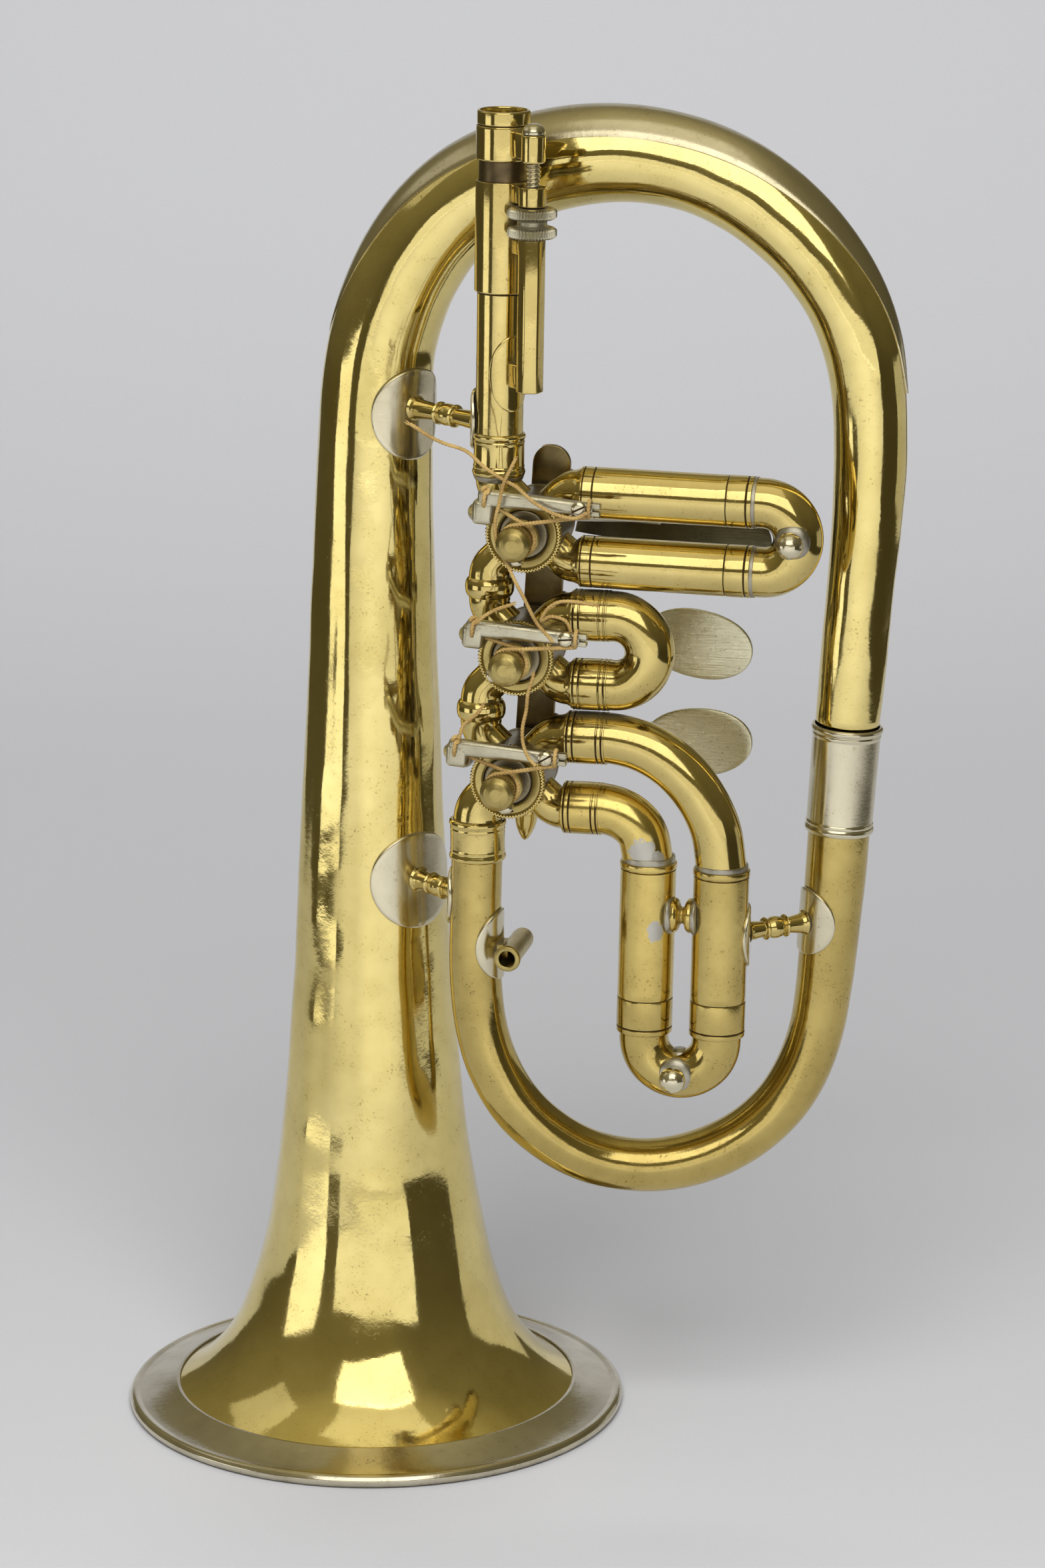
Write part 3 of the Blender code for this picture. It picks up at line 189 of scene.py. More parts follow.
def skin(count, seg, closed=False):
    """Quads over a stack of rings of seg points."""
    i = np.arange(count if closed else count - 1)[:, None]
    k = np.arange(seg)[None, :]
    j, m = (i + 1) % count, (k + 1) % seg
    return np.stack([i * seg + k, i * seg + m, j * seg + m, j * seg + k], -1).reshape(-1, 4)


def caps(count, seg):
    """Fans over the first and last ring, round two centres that follow the rings."""
    k = np.arange(seg)
    m = (k + 1) % seg
    total = count * seg
    last = total - seg
    low = np.stack([np.full(seg, total), m, k], 1)
    return np.concatenate([low, np.stack([np.full(seg, total + 1), last + k, last + m], 1)])


def rays(points, seg, ref=AWAY):
    """Tangents, outward unit vectors of each ring, and their angles."""
    tangent, side, other = frames_of(points, ref)
    angle = np.arange(seg) * TAU / seg
    cos, sin = np.cos(angle)[None, :, None], np.sin(angle)[None, :, None]
    return tangent, cos * side[:, None] + sin * other[:, None], angle


def pipe(shape, rows, wall, seg, mat=0, ref=AWAY, grooves=(), bulge=None):
    """A tube along rows of (x, y, z, radius). grooves are (distance, half width, depth)."""
    rows = np.asarray(rows, float)
    s = lengths(rows)
    if grooves:
        extra = np.concatenate([[g - 1.9 * w, g - w, g, g + w, g + 1.9 * w] for g, w, _ in grooves])
        s_new = np.concatenate([s, extra[(extra > 0) & (extra < s[-1])]])
        s_new = np.unique(np.round(s_new, 4))
        rows = np.stack([np.interp(s_new, s, rows[:, c]) for c in range(4)], 1)
        s = s_new
    points, radius = rows[:, :3], rows[:, 3].copy()
    dark = np.zeros(len(rows), bool)
    for g, w, depth in grooves:
        inside = np.abs(s - g) <= w * 1.01
        radius[inside] -= depth
        dark |= inside
    tangent, around, _ = rays(points, seg, ref)
    reach = np.repeat(radius[:, None], seg, 1)
    if bulge is not None:
        reach = reach + bulge(points[:, None] + around * radius[:, None, None])
    outer = list(points[:, None] + around * reach[..., None])
    inner = list((points[:, None] + around * np.maximum(reach - wall, 0.05)[..., None])[::-1])
    lips = []
    for i, sign, order in ((-1, 1, (45, 90, 135)), (0, -1, (135, 90, 45))):
        made = []
        for degrees in order:
            cos, sin = cos_sin(degrees)
            spread = (reach[i] - wall / 2 + wall / 2 * cos)[:, None]
            made.append(points[i] + around[i] * spread + tangent[i] * sign * wall / 2 * sin)
        lips.append(made)
    rings = outer + lips[0] + inner + lips[1]
    flags = np.zeros(len(rings), int)
    flags[: len(outer) - 1] = dark[:-1] & dark[1:]
    marks = np.where(np.repeat(flags, seg), DARK, mat)
    shape.put(np.concatenate(rings), skin(len(rings), seg, True), quad_mats=marks)


def bar(shape, rows, seg, rim, twist=None):
    """A solid rod with rounded ends along rows of (x, y, z, radius)."""
    points, radius = rows[:, :3], rows[:, 3]
    tangent, around, angle = rays(points, seg)
    reach = np.repeat(radius[:, None], seg, 1)
    if twist is not None:
        reach = reach * twist(lengths(rows)[:, None], angle[None, :])
    edge = min(rim, radius[0] * 0.9, radius[-1] * 0.9)

    def end(i, sign):
        made = []
        for degrees in (30, 60, 90):
            cos, sin = cos_sin(degrees)
            spread = (reach[i] - edge + edge * cos)[:, None]
            made.append(points[i] + around[i] * spread + tangent[i] * sign * edge * sin)
        return made

    rings = end(0, -1)[::-1] + list(points[:, None] + around * reach[..., None]) + end(-1, 1)
    centres = [points[0] - tangent[0] * edge, points[-1] + tangent[-1] * edge]
    shape.put(np.concatenate(rings + [centres]), skin(len(rings), seg), caps(len(rings), seg))


def fillet(profile, size, loop):
    """Round the profile's corners with short curves."""
    out, count = [], len(profile)
    pts = [np.array(p, float) for p in profile]
    for i, p in enumerate(pts):
        if not loop and i in (0, count - 1):
            out.append(p)
            continue
        a, b = pts[i - 1] - p, pts[(i + 1) % count] - p
        la, lb = np.linalg.norm(a), np.linalg.norm(b)
        if la < 1e-6 or lb < 1e-6:
            continue
        turn = math.degrees(math.acos(max(-1, min(1, -(a @ b) / la / lb))))
        if turn < 10:
            out.append(p)
            continue
        d = min(size, 0.42 * la, 0.42 * lb)
        p1, p2 = p + a / la * d, p + b / lb * d
        for t in (0, 0.25, 0.5, 0.75, 1):
            out.append(p1 * (1 - t) ** 2 + 2 * p * t * (1 - t) + p2 * t * t)
    return out


def lathe(shape, profile, at, axis=UPRIGHT, seg=72, mat=0, soft=0.2, knurl=None, dark=None):
    """A turned solid from a profile of (radius, height); one that starts and ends at radius 0
    is capped, any other is a closed loop. knurl(r, h, angle) changes a radius; dark(r, h) picks
    the dark material."""
    on_axis = profile[0][0] == 0 and profile[-1][0] == 0
    x = np.array([p[0] for p in profile])
    y = np.array([p[1] for p in profile])
    if (x * np.roll(y, -1) - np.roll(x, -1) * y).sum() < 0:
        profile = profile[::-1]
    chain = np.array(fillet(profile, soft, not on_axis))
    axis, at = unit(axis), np.asarray(at)
    side = np.array([0, 0, 1.0]) if abs(axis[2]) < 0.7 else np.array([0, -1.0, 0])
    side = unit(side - axis * (side @ axis))
    a = np.arange(seg) * TAU / seg
    ring = np.cos(a)[:, None] * side + np.sin(a)[:, None] * np.cross(axis, side)
    body = chain[1:-1] if on_axis else chain
    rings = []
    for r, h in body:
        radii = np.full(seg, r)
        if knurl is not None:
            radii = knurl(radii, h, a)
        rings.append(at + axis * h + ring * radii[:, None])
    count = len(rings)
    marks = np.full(count - 1 if on_axis else count, mat)
    if dark is not None:
        for i in range(len(marks)):
            r, h = (body[i] + body[(i + 1) % count]) / 2
            if dark(r, h):
                marks[i] = DARK
    tris = None
    if on_axis:
        tris = caps(count, seg)
        rings.append([at + axis * chain[0][1], at + axis * chain[-1][1]])
    quads = skin(count, seg, not on_axis)
    shape.put(np.concatenate(rings), quads, tris, mat, np.repeat(marks, seg))


def sleeve(shape, a, b, r_in, r_out, grooves=(), mat=0, seg=80, soft=0.18):
    """A short ferrule round the line a-b, with dark turned grooves at distances from a."""
    a, b = np.asarray(a, float), np.asarray(b, float)
    long = np.linalg.norm(b - a)
    outline = [(r_in, 0.0), (r_out, 0.0)]
    for c in grooves:
        floor = r_out - 0.2
        outline += [(r_out, c - 0.24), (floor, c - 0.12), (floor, c + 0.12), (r_out, c + 0.24)]
    outline += [(r_out, long), (r_in, long)]

    def in_groove(r, h):
        return any(abs(h - g) < 0.17 and r < r_out - 0.08 for g in grooves)

    lathe(shape, outline, a, b - a, seg, mat, soft, dark=in_groove)


def block(shape, size, at, soft, turn=np.eye(3), mat=0, segments=3, warp=None):
    """A block with rounded edges, its axes the rows of turn. warp reshapes it before placing."""
    work = bmesh.new()
    bmesh.ops.create_cube(work, size=1.0)
    for v in work.verts:
        v.co = Vector((v.co.x * size[0], v.co.y * size[1], v.co.z * size[2]))
    edges = work.edges[:] + work.verts[:]
    bmesh.ops.bevel(
        work, geom=edges, offset=soft, segments=segments, profile=0.5, affect="EDGES"
    )
    bmesh.ops.triangulate(work, faces=work.faces[:])
    pts = np.array([v.co[:] for v in work.verts])
    tris = np.array([[v.index for v in f.verts] for f in work.faces])
    work.free()
    if warp is not None:
        pts = warp(pts)
    shape.put(np.asarray(at, float) + pts @ np.array(turn, float), None, tris, mat)


def plate(shape, outline, half, edge, rings, origin, along, over, mat=0):
    """A flat plate with rounded edges, half as thick as 2 * half, spread over two axes."""
    o = np.array(outline, float)
    spread = np.linalg.norm(o, axis=1)
    layers = []
    for degrees in (0, 30, 60, 90):
        cos, sin = cos_sin(degrees)
        scale = np.clip(1 - edge * (1 - cos) / spread, 0, 1)[:, None]
        layers.append(np.column_stack([o * scale, np.full(len(o), half - edge + edge * sin)]))
    top = layers[-1][:, :2]
    for k in range(1, rings):
        layers.append(np.column_stack([top * (1 - k / rings), np.full(len(o), half)]))
    n, total = len(o), len(layers)
    upper = np.concatenate(layers)
    lower = upper * np.array([1, 1, -1])
    p = np.concatenate([upper, lower, [[0, 0, half]], [[0, 0, -half]]])
    quads = skin(total, n)
    k = np.arange(n)
    m = (k + 1) % n
    low = total * n
    wall = np.stack([low + k, low + m, m, k], 1)
    inner = (total - 1) * n
    tris = np.concatenate([
        np.stack([inner + k, inner + m, np.full(n, 2 * low)], 1),
        np.stack([low + inner + m, low + inner + k, np.full(n, 2 * low + 1)], 1),
    ])
    verts = origin + p[:, :1] * along + p[:, 1:2] * over - p[:, 2:3] * AWAY
    shape.put(verts, np.concatenate([quads, quads[:, ::-1] + low, wall]), tris, mat)


def flange(shape, spine, outward, tall, wide, thick, mat=0, seed=0.0):
    """A thin disc wrapped round a tube, its edge rounded over and a little uneven.

    spine(height) gives the tube's centre and radius; tall and wide are the disc's half sizes.
    """
    rings, spokes = 12, 112
    under = -0.12
    middle = np.array(spine(0.0)[0], float)
    along = unit(np.array(spine(1.0)[0], float) - middle)
    out = np.array(outward, float)
    out = unit(out - along * (out @ along))
    side = np.cross(along, out)

    def spot(rho, phi, lift):
        wobble = 1 + 0.0144 * math.sin(2 * phi + seed) + 0.0084 * math.sin(3 * phi + 2 * seed)
        centre, radius = spine(tall * rho * wobble * math.sin(phi))
        turn = wide * rho * wobble * math.cos(phi) / radius
        way = out * math.cos(turn) + side * math.sin(turn)
        return np.asarray(centre) + way * (radius + lift)

    levels = [(rho, thick) for rho in np.linspace(0.08, 0.955, rings)]
    for degrees in (30, 60, 90):
        cos, sin = cos_sin(degrees)
        levels.append((0.955 + 0.045 * sin, thick * (0.45 + 0.55 * cos)))
    levels.append((1.0, under))
    levels += [(rho, under) for rho in np.linspace(0.9, 0.08, 7)]
    angles = [TAU * k / spokes for k in range(spokes)]
    layers = [np.array([spot(rho, phi, lift) for phi in angles]) for rho, lift in levels]
    quads = skin(len(layers), spokes)[:, ::-1]
    tris = caps(len(layers), spokes)[:, [0, 2, 1]]
    verts = np.concatenate(layers + [[spot(0, 0, thick)], [spot(0, 0, under)]])
    first, second, third = verts[quads[0][:3]]
    if np.cross(second - first, third - first) @ out < 0:
        quads, tris = quads[:, ::-1], tris[:, ::-1]
    shape.put(verts, quads, tris, mat)


def lumps(scale, amount, seed=0.0):
    """A bulge function: smooth noise of a size in mm and a height in mm."""

    def made(points):
        flat = points.reshape(-1, 3)
        out = [
            noise.noise(Vector((p[0] / scale + seed, p[1] / scale, p[2] / scale * 0.8)))
            for p in flat
        ]
        return np.array(out).reshape(points.shape[:2]) * amount

    return made


def milled(count, deep, inner):
    """A knurl that cuts count notches outside the radius inner."""

    def made(r, h, angle):
        return np.where(r > inner, r - deep * (0.5 + 0.5 * np.cos(count * angle)) ** 0.7, r)

    return made


# ------------------------------------------------------------------ materials
def feed(tree, made, sockets):
    """Link or set a node's inputs, by name or number."""
    for place, value in sockets.items():
        if isinstance(value, bpy.types.NodeSocket):
            tree.links.new(value, made.inputs[place])
        else:
            made.inputs[place].default_value = value


def node(tree, kind, *inputs, **values):
    """A new node. Keywords name its inputs, with _ for a space, or else its settings."""
    made = tree.nodes.new(kind)
    sockets = dict(enumerate(inputs))
    for key, value in values.items():
        label = key.replace("_", " ")
        if label in made.inputs.keys():
            sockets[label] = value
        else:
            setattr(made, key, value)
    feed(tree, made, sockets)
    return made


def ramp_of(tree, fac, stops):
    """The colour of a ramp through (position, (r, g, b)) stops."""
    made = node(tree, "ShaderNodeValToRGB", Fac=fac)
    elements = made.color_ramp.elements
    for k, (position, colour) in enumerate(stops):
        stop = elements[k] if k < 2 else elements.new(position)
        stop.position = position
        stop.color = (*colour, 1)
    return made.outputs["Color"]


def new_material(name):
    mat = bpy.data.materials.new(name)
    mat.use_nodes = True
    tree = mat.node_tree
    where = node(tree, "ShaderNodeTexCoord").outputs["Object"]
    return mat, tree, tree.nodes["Principled BSDF"], where


def metal(
    name, base, deep, rough, *, patina, speck, pit, wave, speck_colour=(0.12, 0.06, 0.02),
    grime_and_shade=0.8, brushed=0.0, spots=(), wave_scale=45.0, reach=0.0022, edge=None,
):
    """Aged metal.

    base, deep, patina: colour, mottling colour and strength. rough: least roughness.
    speck, speck_colour: small stains. grime_and_shade, reach: grime with painted shade in corners,
    and how far out it spreads.
    wave, wave_scale: ripple height and density. pit, brushed: fine pits and fine lines.
    spots: pale marks at (x, y, z, size) in mm. edge: colour of rounded edges, a painted highlight.
    """
    mat, tree, shader, where = new_material(name)

    def noise_at(scale, detail, roughness=0.55, vector=where):
        made = node(
            tree, "ShaderNodeTexNoise",
            Scale=scale, Detail=detail, Roughness=roughness, Vector=vector,
        )
        return made.outputs["Fac"]

    def remap(value, low, high, to_low=0.0, to_high=1.0):
        made = node(
            tree, "ShaderNodeMapRange",
            From_Min=low, From_Max=high, To_Min=to_low, To_Max=to_high, Value=value,
        )
        return made.outputs["Result"]

    def calc(op, a, b):
        return node(tree, "ShaderNodeMath", a, b, operation=op).outputs[0]

    def mul(a, b):
        return calc("MULTIPLY", a, b)

    def add(a, b):
        return calc("ADD", a, b)

    def mix(fac, a, b):
        made = node(tree, "ShaderNodeMix", data_type="RGBA")
        a, b = ((*v, 1.0) if isinstance(v, tuple) else v for v in (a, b))
        feed(tree, made, {0: fac, 6: a, 7: b})
        return made.outputs[2]

    def bump(height, distance, normal=None):
        made = node(
            tree, "ShaderNodeBump", Strength=1.0, Distance=distance, Height=height
        )
        if normal is not None:
            feed(tree, made, {"Normal": normal})
        return made.outputs["Normal"]

    # mottled tone, stains, and grime with painted shade in corners
    broad = noise_at(28, 4)
    middle = noise_at(150, 4, 0.6)
    fine = noise_at(1500, 2, 0.5)
    mottle = remap(add(mul(broad, 0.65), mul(middle, 0.35)), 0.36, 0.64)
    tone = mix(mul(mottle, patina), base, deep)
    stains = mul(remap(fine, 0.60, 0.72), remap(middle, 0.42, 0.68))
    tone = mix(mul(stains, speck), tone, speck_colour)
    # painted shade: ambient occlusion darkens corners and gaps between parts, together with grime
    hidden = node(tree, "ShaderNodeAmbientOcclusion", samples=4, Distance=reach)
    grime_and_shade_mask = remap(hidden.outputs["AO"], 0.72, 0.18)
    grime_and_shade_mask = mul(mul(grime_and_shade_mask, remap(middle, 0.25, 0.55, 0.55, 1.0)), grime_and_shade)
    tone = mix(grime_and_shade_mask, tone, (0.035, 0.022, 0.010))
    surface = add(mul(remap(middle, 0.3, 0.7), 0.07), rough)
    surface = add(surface, mul(stains, 0.25 * min(1, speck * 2)))
    surface = add(surface, mul(grime_and_shade_mask, 0.45))
    metallic = remap(grime_and_shade_mask, 0.0, 1.0, 1.0, 0.35)
    for x, y, z, size in spots:
        near = node(
            tree, "ShaderNodeVectorMath", where, tuple(to_metres((x, y, z))), operation="DISTANCE"
        )
        ragged = mul(calc("SUBTRACT", noise_at(420, 3), 0.5), size * 0.0022)
        ragged = add(near.outputs["Value"], ragged)
        patch = remap(ragged, size * 0.001, size * 0.00085)
        tone = mix(patch, tone, (0.62, 0.60, 0.54))
        surface = add(surface, mul(patch, 0.3))
    # painted highlight: rounded edges are painted lighter and glossier
    if edge is not None:
        bevel = node(tree, "ShaderNodeBevel", samples=4, Radius=0.0006).outputs["Normal"]
        flat = node(tree, "ShaderNodeNewGeometry").outputs["Normal"]
        apart = node(tree, "ShaderNodeVectorMath", bevel, flat, operation="DOT_PRODUCT")
        painted_edge_highlight = remap(apart.outputs["Value"], 0.985, 0.9)
        painted_edge_highlight = mul(painted_edge_highlight, remap(middle, 0.35, 0.55, 0.5, 1.0))
        tone = mix(painted_edge_highlight, tone, edge)
        surface = calc("SUBTRACT", surface, mul(painted_edge_highlight, 0.15))
    # ripples, pits and brushed lines
    normal = bump(noise_at(wave_scale, 2, 0.45), 0.0006 * wave)
    normal = bump(noise_at(700, 3, 0.6), 0.00003 * pit, normal)
    if brushed:
        stretched = node(
            tree, "ShaderNodeMapping",
            Scale=(0.05, 1.0, 3.0), Rotation=(0.0, 0.75, 0.0), Vector=where,
        )
        lines = noise_at(700, 3, 0.65, stretched.outputs["Vector"])
        normal = bump(lines, 0.00003 * brushed, normal)
    feed(tree, shader, {
        "Base Color": tone, "Roughness": surface, "Metallic": metallic, "Normal": normal,
    })
    return mat


BRASS = metal(
    "polished_brass", base=(0.72, 0.575, 0.225), deep=(0.46, 0.35, 0.105), rough=0.07,
    patina=0.5, speck=0.5, wave=0.2, wave_scale=60, pit=0.4, reach=0.004, grime_and_shade=0.9,
)
BRASS_BELL = metal(
    "bell_brass", base=(0.87, 0.725, 0.30), deep=(0.62, 0.49, 0.155), rough=0.045,
    patina=0.6, speck=0.45, wave=0.7, wave_scale=34, pit=0.4,
)
BRASS_OLD = metal(
    "worn_brass", base=(0.63, 0.49, 0.17), deep=(0.37, 0.27, 0.075), rough=0.10,
    patina=0.65, speck=0.8, wave=0.25, wave_scale=70, pit=0.8, reach=0.004, grime_and_shade=0.9,
)
# dark material for seams and grooves, also used as painted shade in screw slots and slide gaps
SEAM_AND_GAP_SHADE = metal(
    "seam_and_gap_shade", base=(0.07, 0.045, 0.02), deep=(0.035, 0.022, 0.012), rough=0.5,
    patina=0.35, speck=0.3, wave=0.1, pit=0.2, grime_and_shade=0.5,
)
STAINED = metal(
    "stained_brass", base=(0.30, 0.22, 0.11), deep=(0.03, 0.025, 0.02), rough=0.32,
    patina=1.0, speck=0.8, wave=0.3, pit=1.0,
)
SOLDER = metal(
    "old_solder", base=(0.56, 0.53, 0.43), deep=(0.30, 0.27, 0.21), rough=0.33,
    patina=0.9, speck=0.5, wave=0.5, wave_scale=160, pit=1.6, grime_and_shade=0.7,
)
DULL = metal(
    "dull_brass", base=(0.60, 0.48, 0.18), deep=(0.33, 0.25, 0.085), rough=0.27,
    patina=0.75, speck=0.6, wave=0.3, pit=1.4, wave_scale=90, grime_and_shade=0.95,
)
CASING = metal(
    "casing_brass", base=(0.36, 0.31, 0.20), deep=(0.20, 0.165, 0.10), rough=0.36,
    patina=0.7, speck=0.45, wave=0.25, pit=1.2, wave_scale=90, grime_and_shade=0.95, reach=0.004,
)
# the rail's lighter edges are a painted highlight
RAIL = metal(
    "tarnished_brass", base=(0.25, 0.195, 0.09), deep=(0.055, 0.038, 0.02), rough=0.26,
    patina=0.9, speck=0.4, wave=0.3, pit=1.0, grime_and_shade=0.5, edge=(0.55, 0.40, 0.16),
)
NICKEL = metal(
    "nickel_silver", base=(0.74, 0.68, 0.50), deep=(0.52, 0.455, 0.295), rough=0.15,
    patina=0.45, speck=0.3, wave=0.3, pit=0.4, brushed=0.25,
)
GUARD = metal(
    "guard_nickel", base=(0.70, 0.63, 0.43), deep=(0.50, 0.43, 0.26), rough=0.19,
    patina=0.7, speck=0.4, wave=0.4, wave_scale=40, pit=0.9, brushed=0.25,
)
GARLAND = metal(
    "garland_nickel", base=(0.70, 0.65, 0.51), deep=(0.44, 0.385, 0.27), rough=0.12,
    patina=0.7, speck=0.4, wave=0.6, wave_scale=38, pit=0.7, brushed=0.3,
)
LEVER = metal(
    "lever_nickel", base=(0.64, 0.60, 0.45), deep=(0.40, 0.36, 0.24), rough=0.28,
    patina=0.7, speck=0.9, speck_colour=(0.10, 0.07, 0.04), wave=0.25, pit=1.8, brushed=1.5,
)
PADDLE = metal(
    "touchpiece_nickel", base=(0.70, 0.665, 0.48), deep=(0.58, 0.545, 0.37), rough=0.25,
    patina=0.4, speck=1.0, speck_colour=(0.12, 0.09, 0.05), wave=0.2, pit=1.8, brushed=3.6,
)
# painted shade: a darker copy of the touchpiece metal for lever 1, whose touchpiece sits in shade
# behind the first slide's legs
PADDLE_PAINTED_SHADE = metal(
    "shaded_touchpiece", base=(0.16, 0.145, 0.085), deep=(0.06, 0.05, 0.03), rough=0.30,
    patina=0.8, speck=1.0, speck_colour=(0.03, 0.02, 0.012), wave=0.2, pit=1.4, brushed=1.5,
)
SPOTTED = metal(
    "spotted_brass", base=(0.75, 0.585, 0.195), deep=(0.45, 0.32, 0.09), rough=0.135,
    patina=0.6, speck=0.6, wave=0.25, wave_scale=70, pit=0.7,
    spots=((80.6, -33.1, 142.2, 2.5), (77.0, -33.6, 162.6, 3.4), (81.0, -32.2, 161.2, 1.8)),
)
STEEL = metal(
    "steel_wire", base=(0.30, 0.28, 0.24), deep=(0.16, 0.13, 0.10), rough=0.35,
    patina=0.7, speck=0.6, wave=0.1, pit=1.0,
)


def twine_material():
    mat, tree, shader, where = new_material("twine")
    broad, fine = (
        node(tree, "ShaderNodeTexNoise", Scale=scale, Detail=3.0, Vector=where).outputs["Fac"]
        for scale in (160.0, 4200.0)
    )
    scaled = node(tree, "ShaderNodeMath", fine, 0.4, operation="MULTIPLY").outputs[0]
    blend = node(tree, "ShaderNodeMath", broad, 0.6, scaled, operation="MULTIPLY_ADD")
    stops = ((0.3, (0.25, 0.14, 0.035)), (0.72, (0.62, 0.43, 0.15)))
    bump = node(tree, "ShaderNodeBump", Strength=0.7, Distance=0.00006, Height=fine)
    feed(tree, shader, {
        "Base Color": ramp_of(tree, blend.outputs[0], stops),
        "Roughness": 0.75, "Normal": bump.outputs["Normal"],
    })
    return mat


TWINE = twine_material()

# ------------------------------------------------------------------ bell and top bow
# Centre line from the bell's mouth up: (x, y, z, radius).
BELL = (
    (0, 0, 5.6, 52.2), (0, 0, 7.2, 49.6), (0, 0, 9.6, 46.3), (0, 0, 13.2, 42.6),
    (0, 0, 18.2, 38.8), (0, 0, 24.7, 35.4), (0, 0, 35.9, 31.5), (0, 0, 47.1, 28.8),
    (0, 0, 58.2, 26.8), (0, 0, 69.2, 25.1), (0, 0, 80.2, 23.75), (0, 0, 91.2, 22.75),
    (0, 0, 107, 21.4), (0, 0, 123.8, 20.2), (0, 0, 145.3, 19.0), (0.3, 0, 166.6, 17.9),
    (0.6, 0, 198.3, 16.5), (0.8, 0, 219.2, 15.75), (1.2, 0, 239.9, 14.95), (1.8, 0, 260.5, 14.4),
)
# The same columns, over the top and down the far side.
BOW = (
    (2.3, 0, 270.8, 14.0), (3.6, -0.1, 281, 13.55), (6.4, -0.3, 291, 13.3),
    (11.0, -0.6, 301.5, 13.15), (18, -1, 311.8, 13.05), (26.5, -1.4, 319.8, 12.95),
    (36, -1.8, 325.3, 12.75), (46.1, -2.2, 328.8, 12.5), (56.2, -2.8, 331, 12.1),
    (66.3, -3.3, 331.7, 11.7), (76.4, -3.8, 330.8, 11.4), (86.5, -4.3, 328.3, 11.2),
    (96.5, -4.9, 323.8, 10.95), (106.6, -5.4, 316.6, 10.65), (115.4, -6, 307.4, 10.3),
    (121.9, -6.4, 297.4, 9.95), (125.9, -6.5, 286.6, 9.6), (127.9, -6.5, 274, 9.2),
    (128.5, -6.5, 262, 8.95), (128.2, -6.5, 248, 8.75), (126.6, -6.5, 226.4, 8.5),
    (124.4, -6.5, 198, 8.3),
)
BOW_END = (123.9, -6.5, 192.0, 8.2)
FERRULE_TOP, FERRULE_FOOT = np.array((123.85, -6.5, 191.2)), np.array((122.05, -6.5, 163.7))
# Shallow dents in the bell: (x, y, z, size, depth).
DENTS = (
    (-14.0, -14.5, 118.0, 9.0, -0.35), (12.0, -17.5, 70.0, 11.0, -0.3),
    (-24, -16, 44, 12, -0.35), (18, -29, 30, 9, -0.3),
)


def bell_bulge(points):
    """Hammer ripples, long upright creases and shallow dents, fading out at the rim."""
    out = lumps(24, 0.30)(points) + lumps(9, 0.085, 5.0)(points) + lumps(4.5, 0.022, 2.0)(points)
    z = points[..., 2]
    turn = np.arctan2(points[..., 1], points[..., 0])
    crease = np.array([
        noise.noise(Vector((math.cos(t) * 2.9, math.sin(t) * 2.9, h / 120)))
        for t, h in zip(turn.ravel(), z.ravel())
    ]).reshape(z.shape)
    out += crease * 0.55 * np.clip((z - 20) / 40, 0, 1) * np.clip((250 - z) / 40, 0, 1)
    for x0, y0, z0, size, depth in DENTS:
        out += depth * np.exp(-((points - np.array((x0, y0, z0))) ** 2).sum(-1) / size**2)
    return out * np.clip((z - BELL[0][2]) / 6, 0, 1)


bell = Shape()
pipe(bell, spline(BELL + BOW + (BOW_END,), 1.5), 0.6, 168, bulge=bell_bulge)
bell.build("bell_flare_and_top_bow", [BRASS_BELL, SEAM_AND_GAP_SHADE], "bell_and_top_bow")

# The nickel band round the bell's mouth: (radius, height).
garland = Shape()
garland_profile = [
    (51.9, 6.15), (52.6, 6.2), (53.4, 5.85), (56.5, 4.75), (60.0, 3.55), (62.3, 2.95),
    (62.9, 3.15), (63.6, 3.3), (64.4, 2.95), (65.0, 2.1), (65.1, 1.35), (64.8, 0.6), (64.2, 0.1),
    (63.4, 0.0), (62.6, 0.3), (62.2, 1.4), (61.5, 2.2), (56.5, 3.9), (52.6, 5.0), (51.9, 5.2),
]
lathe(garland, garland_profile, (0, 0, 0), seg=224, soft=0.22)
garland.build("garland", [GARLAND, SEAM_AND_GAP_SHADE], "bell_garland")

# The guard over the outside of the top bow, running out to points.
guard = Shape()
GUARD_COLS = 41
line = spline(BOW[1:18], 1.4)
tangent, _, _ = frames_of(line[:, :3], AWAY)
guard_rings = []
for i, (p, t) in enumerate(zip(line, tangent)):
    centre = p[:3]
    back = unit(AWAY - t * t[1])
    out = np.cross(t, back)
    if out @ np.array((p[0] - 64, 0, p[2] - 270)) < 0:
        out = -out
    f = i / (len(line) - 1)
    swell = max(0.0, math.sin(math.pi * f)) ** (0.55 if f < 0.5 else 0.85)
    half = math.radians(1.5 + 61.0 * swell)
    a = np.linspace(-half, half, GUARD_COLS)
    lift = 0.42 - 0.36 * np.abs(np.linspace(-1, 1, GUARD_COLS)) ** 14
    way = np.cos(a)[:, None] * out + np.sin(a)[:, None] * back
    over = centre + way * (p[3] + 0.12 + lift)[:, None]
    shrink = (p[3] - 0.05) / np.linalg.norm(over - centre, axis=1)
    under = centre + (over - centre) * shrink[:, None]
    guard_rings.append(np.concatenate([over, under[::-1]]))
n, m = len(guard_rings), 2 * GUARD_COLS
last = (n - 1) * m
tips = [[0, k + 1, k] for k in range(1, m - 1)]
tips += [[last, last + k, last + k + 1] for k in range(1, m - 1)]
guard.put(np.concatenate(guard_rings), skin(n, m), tips)
guard.build("top_bow_guard", [GUARD, SEAM_AND_GAP_SHADE], "bow_guard")

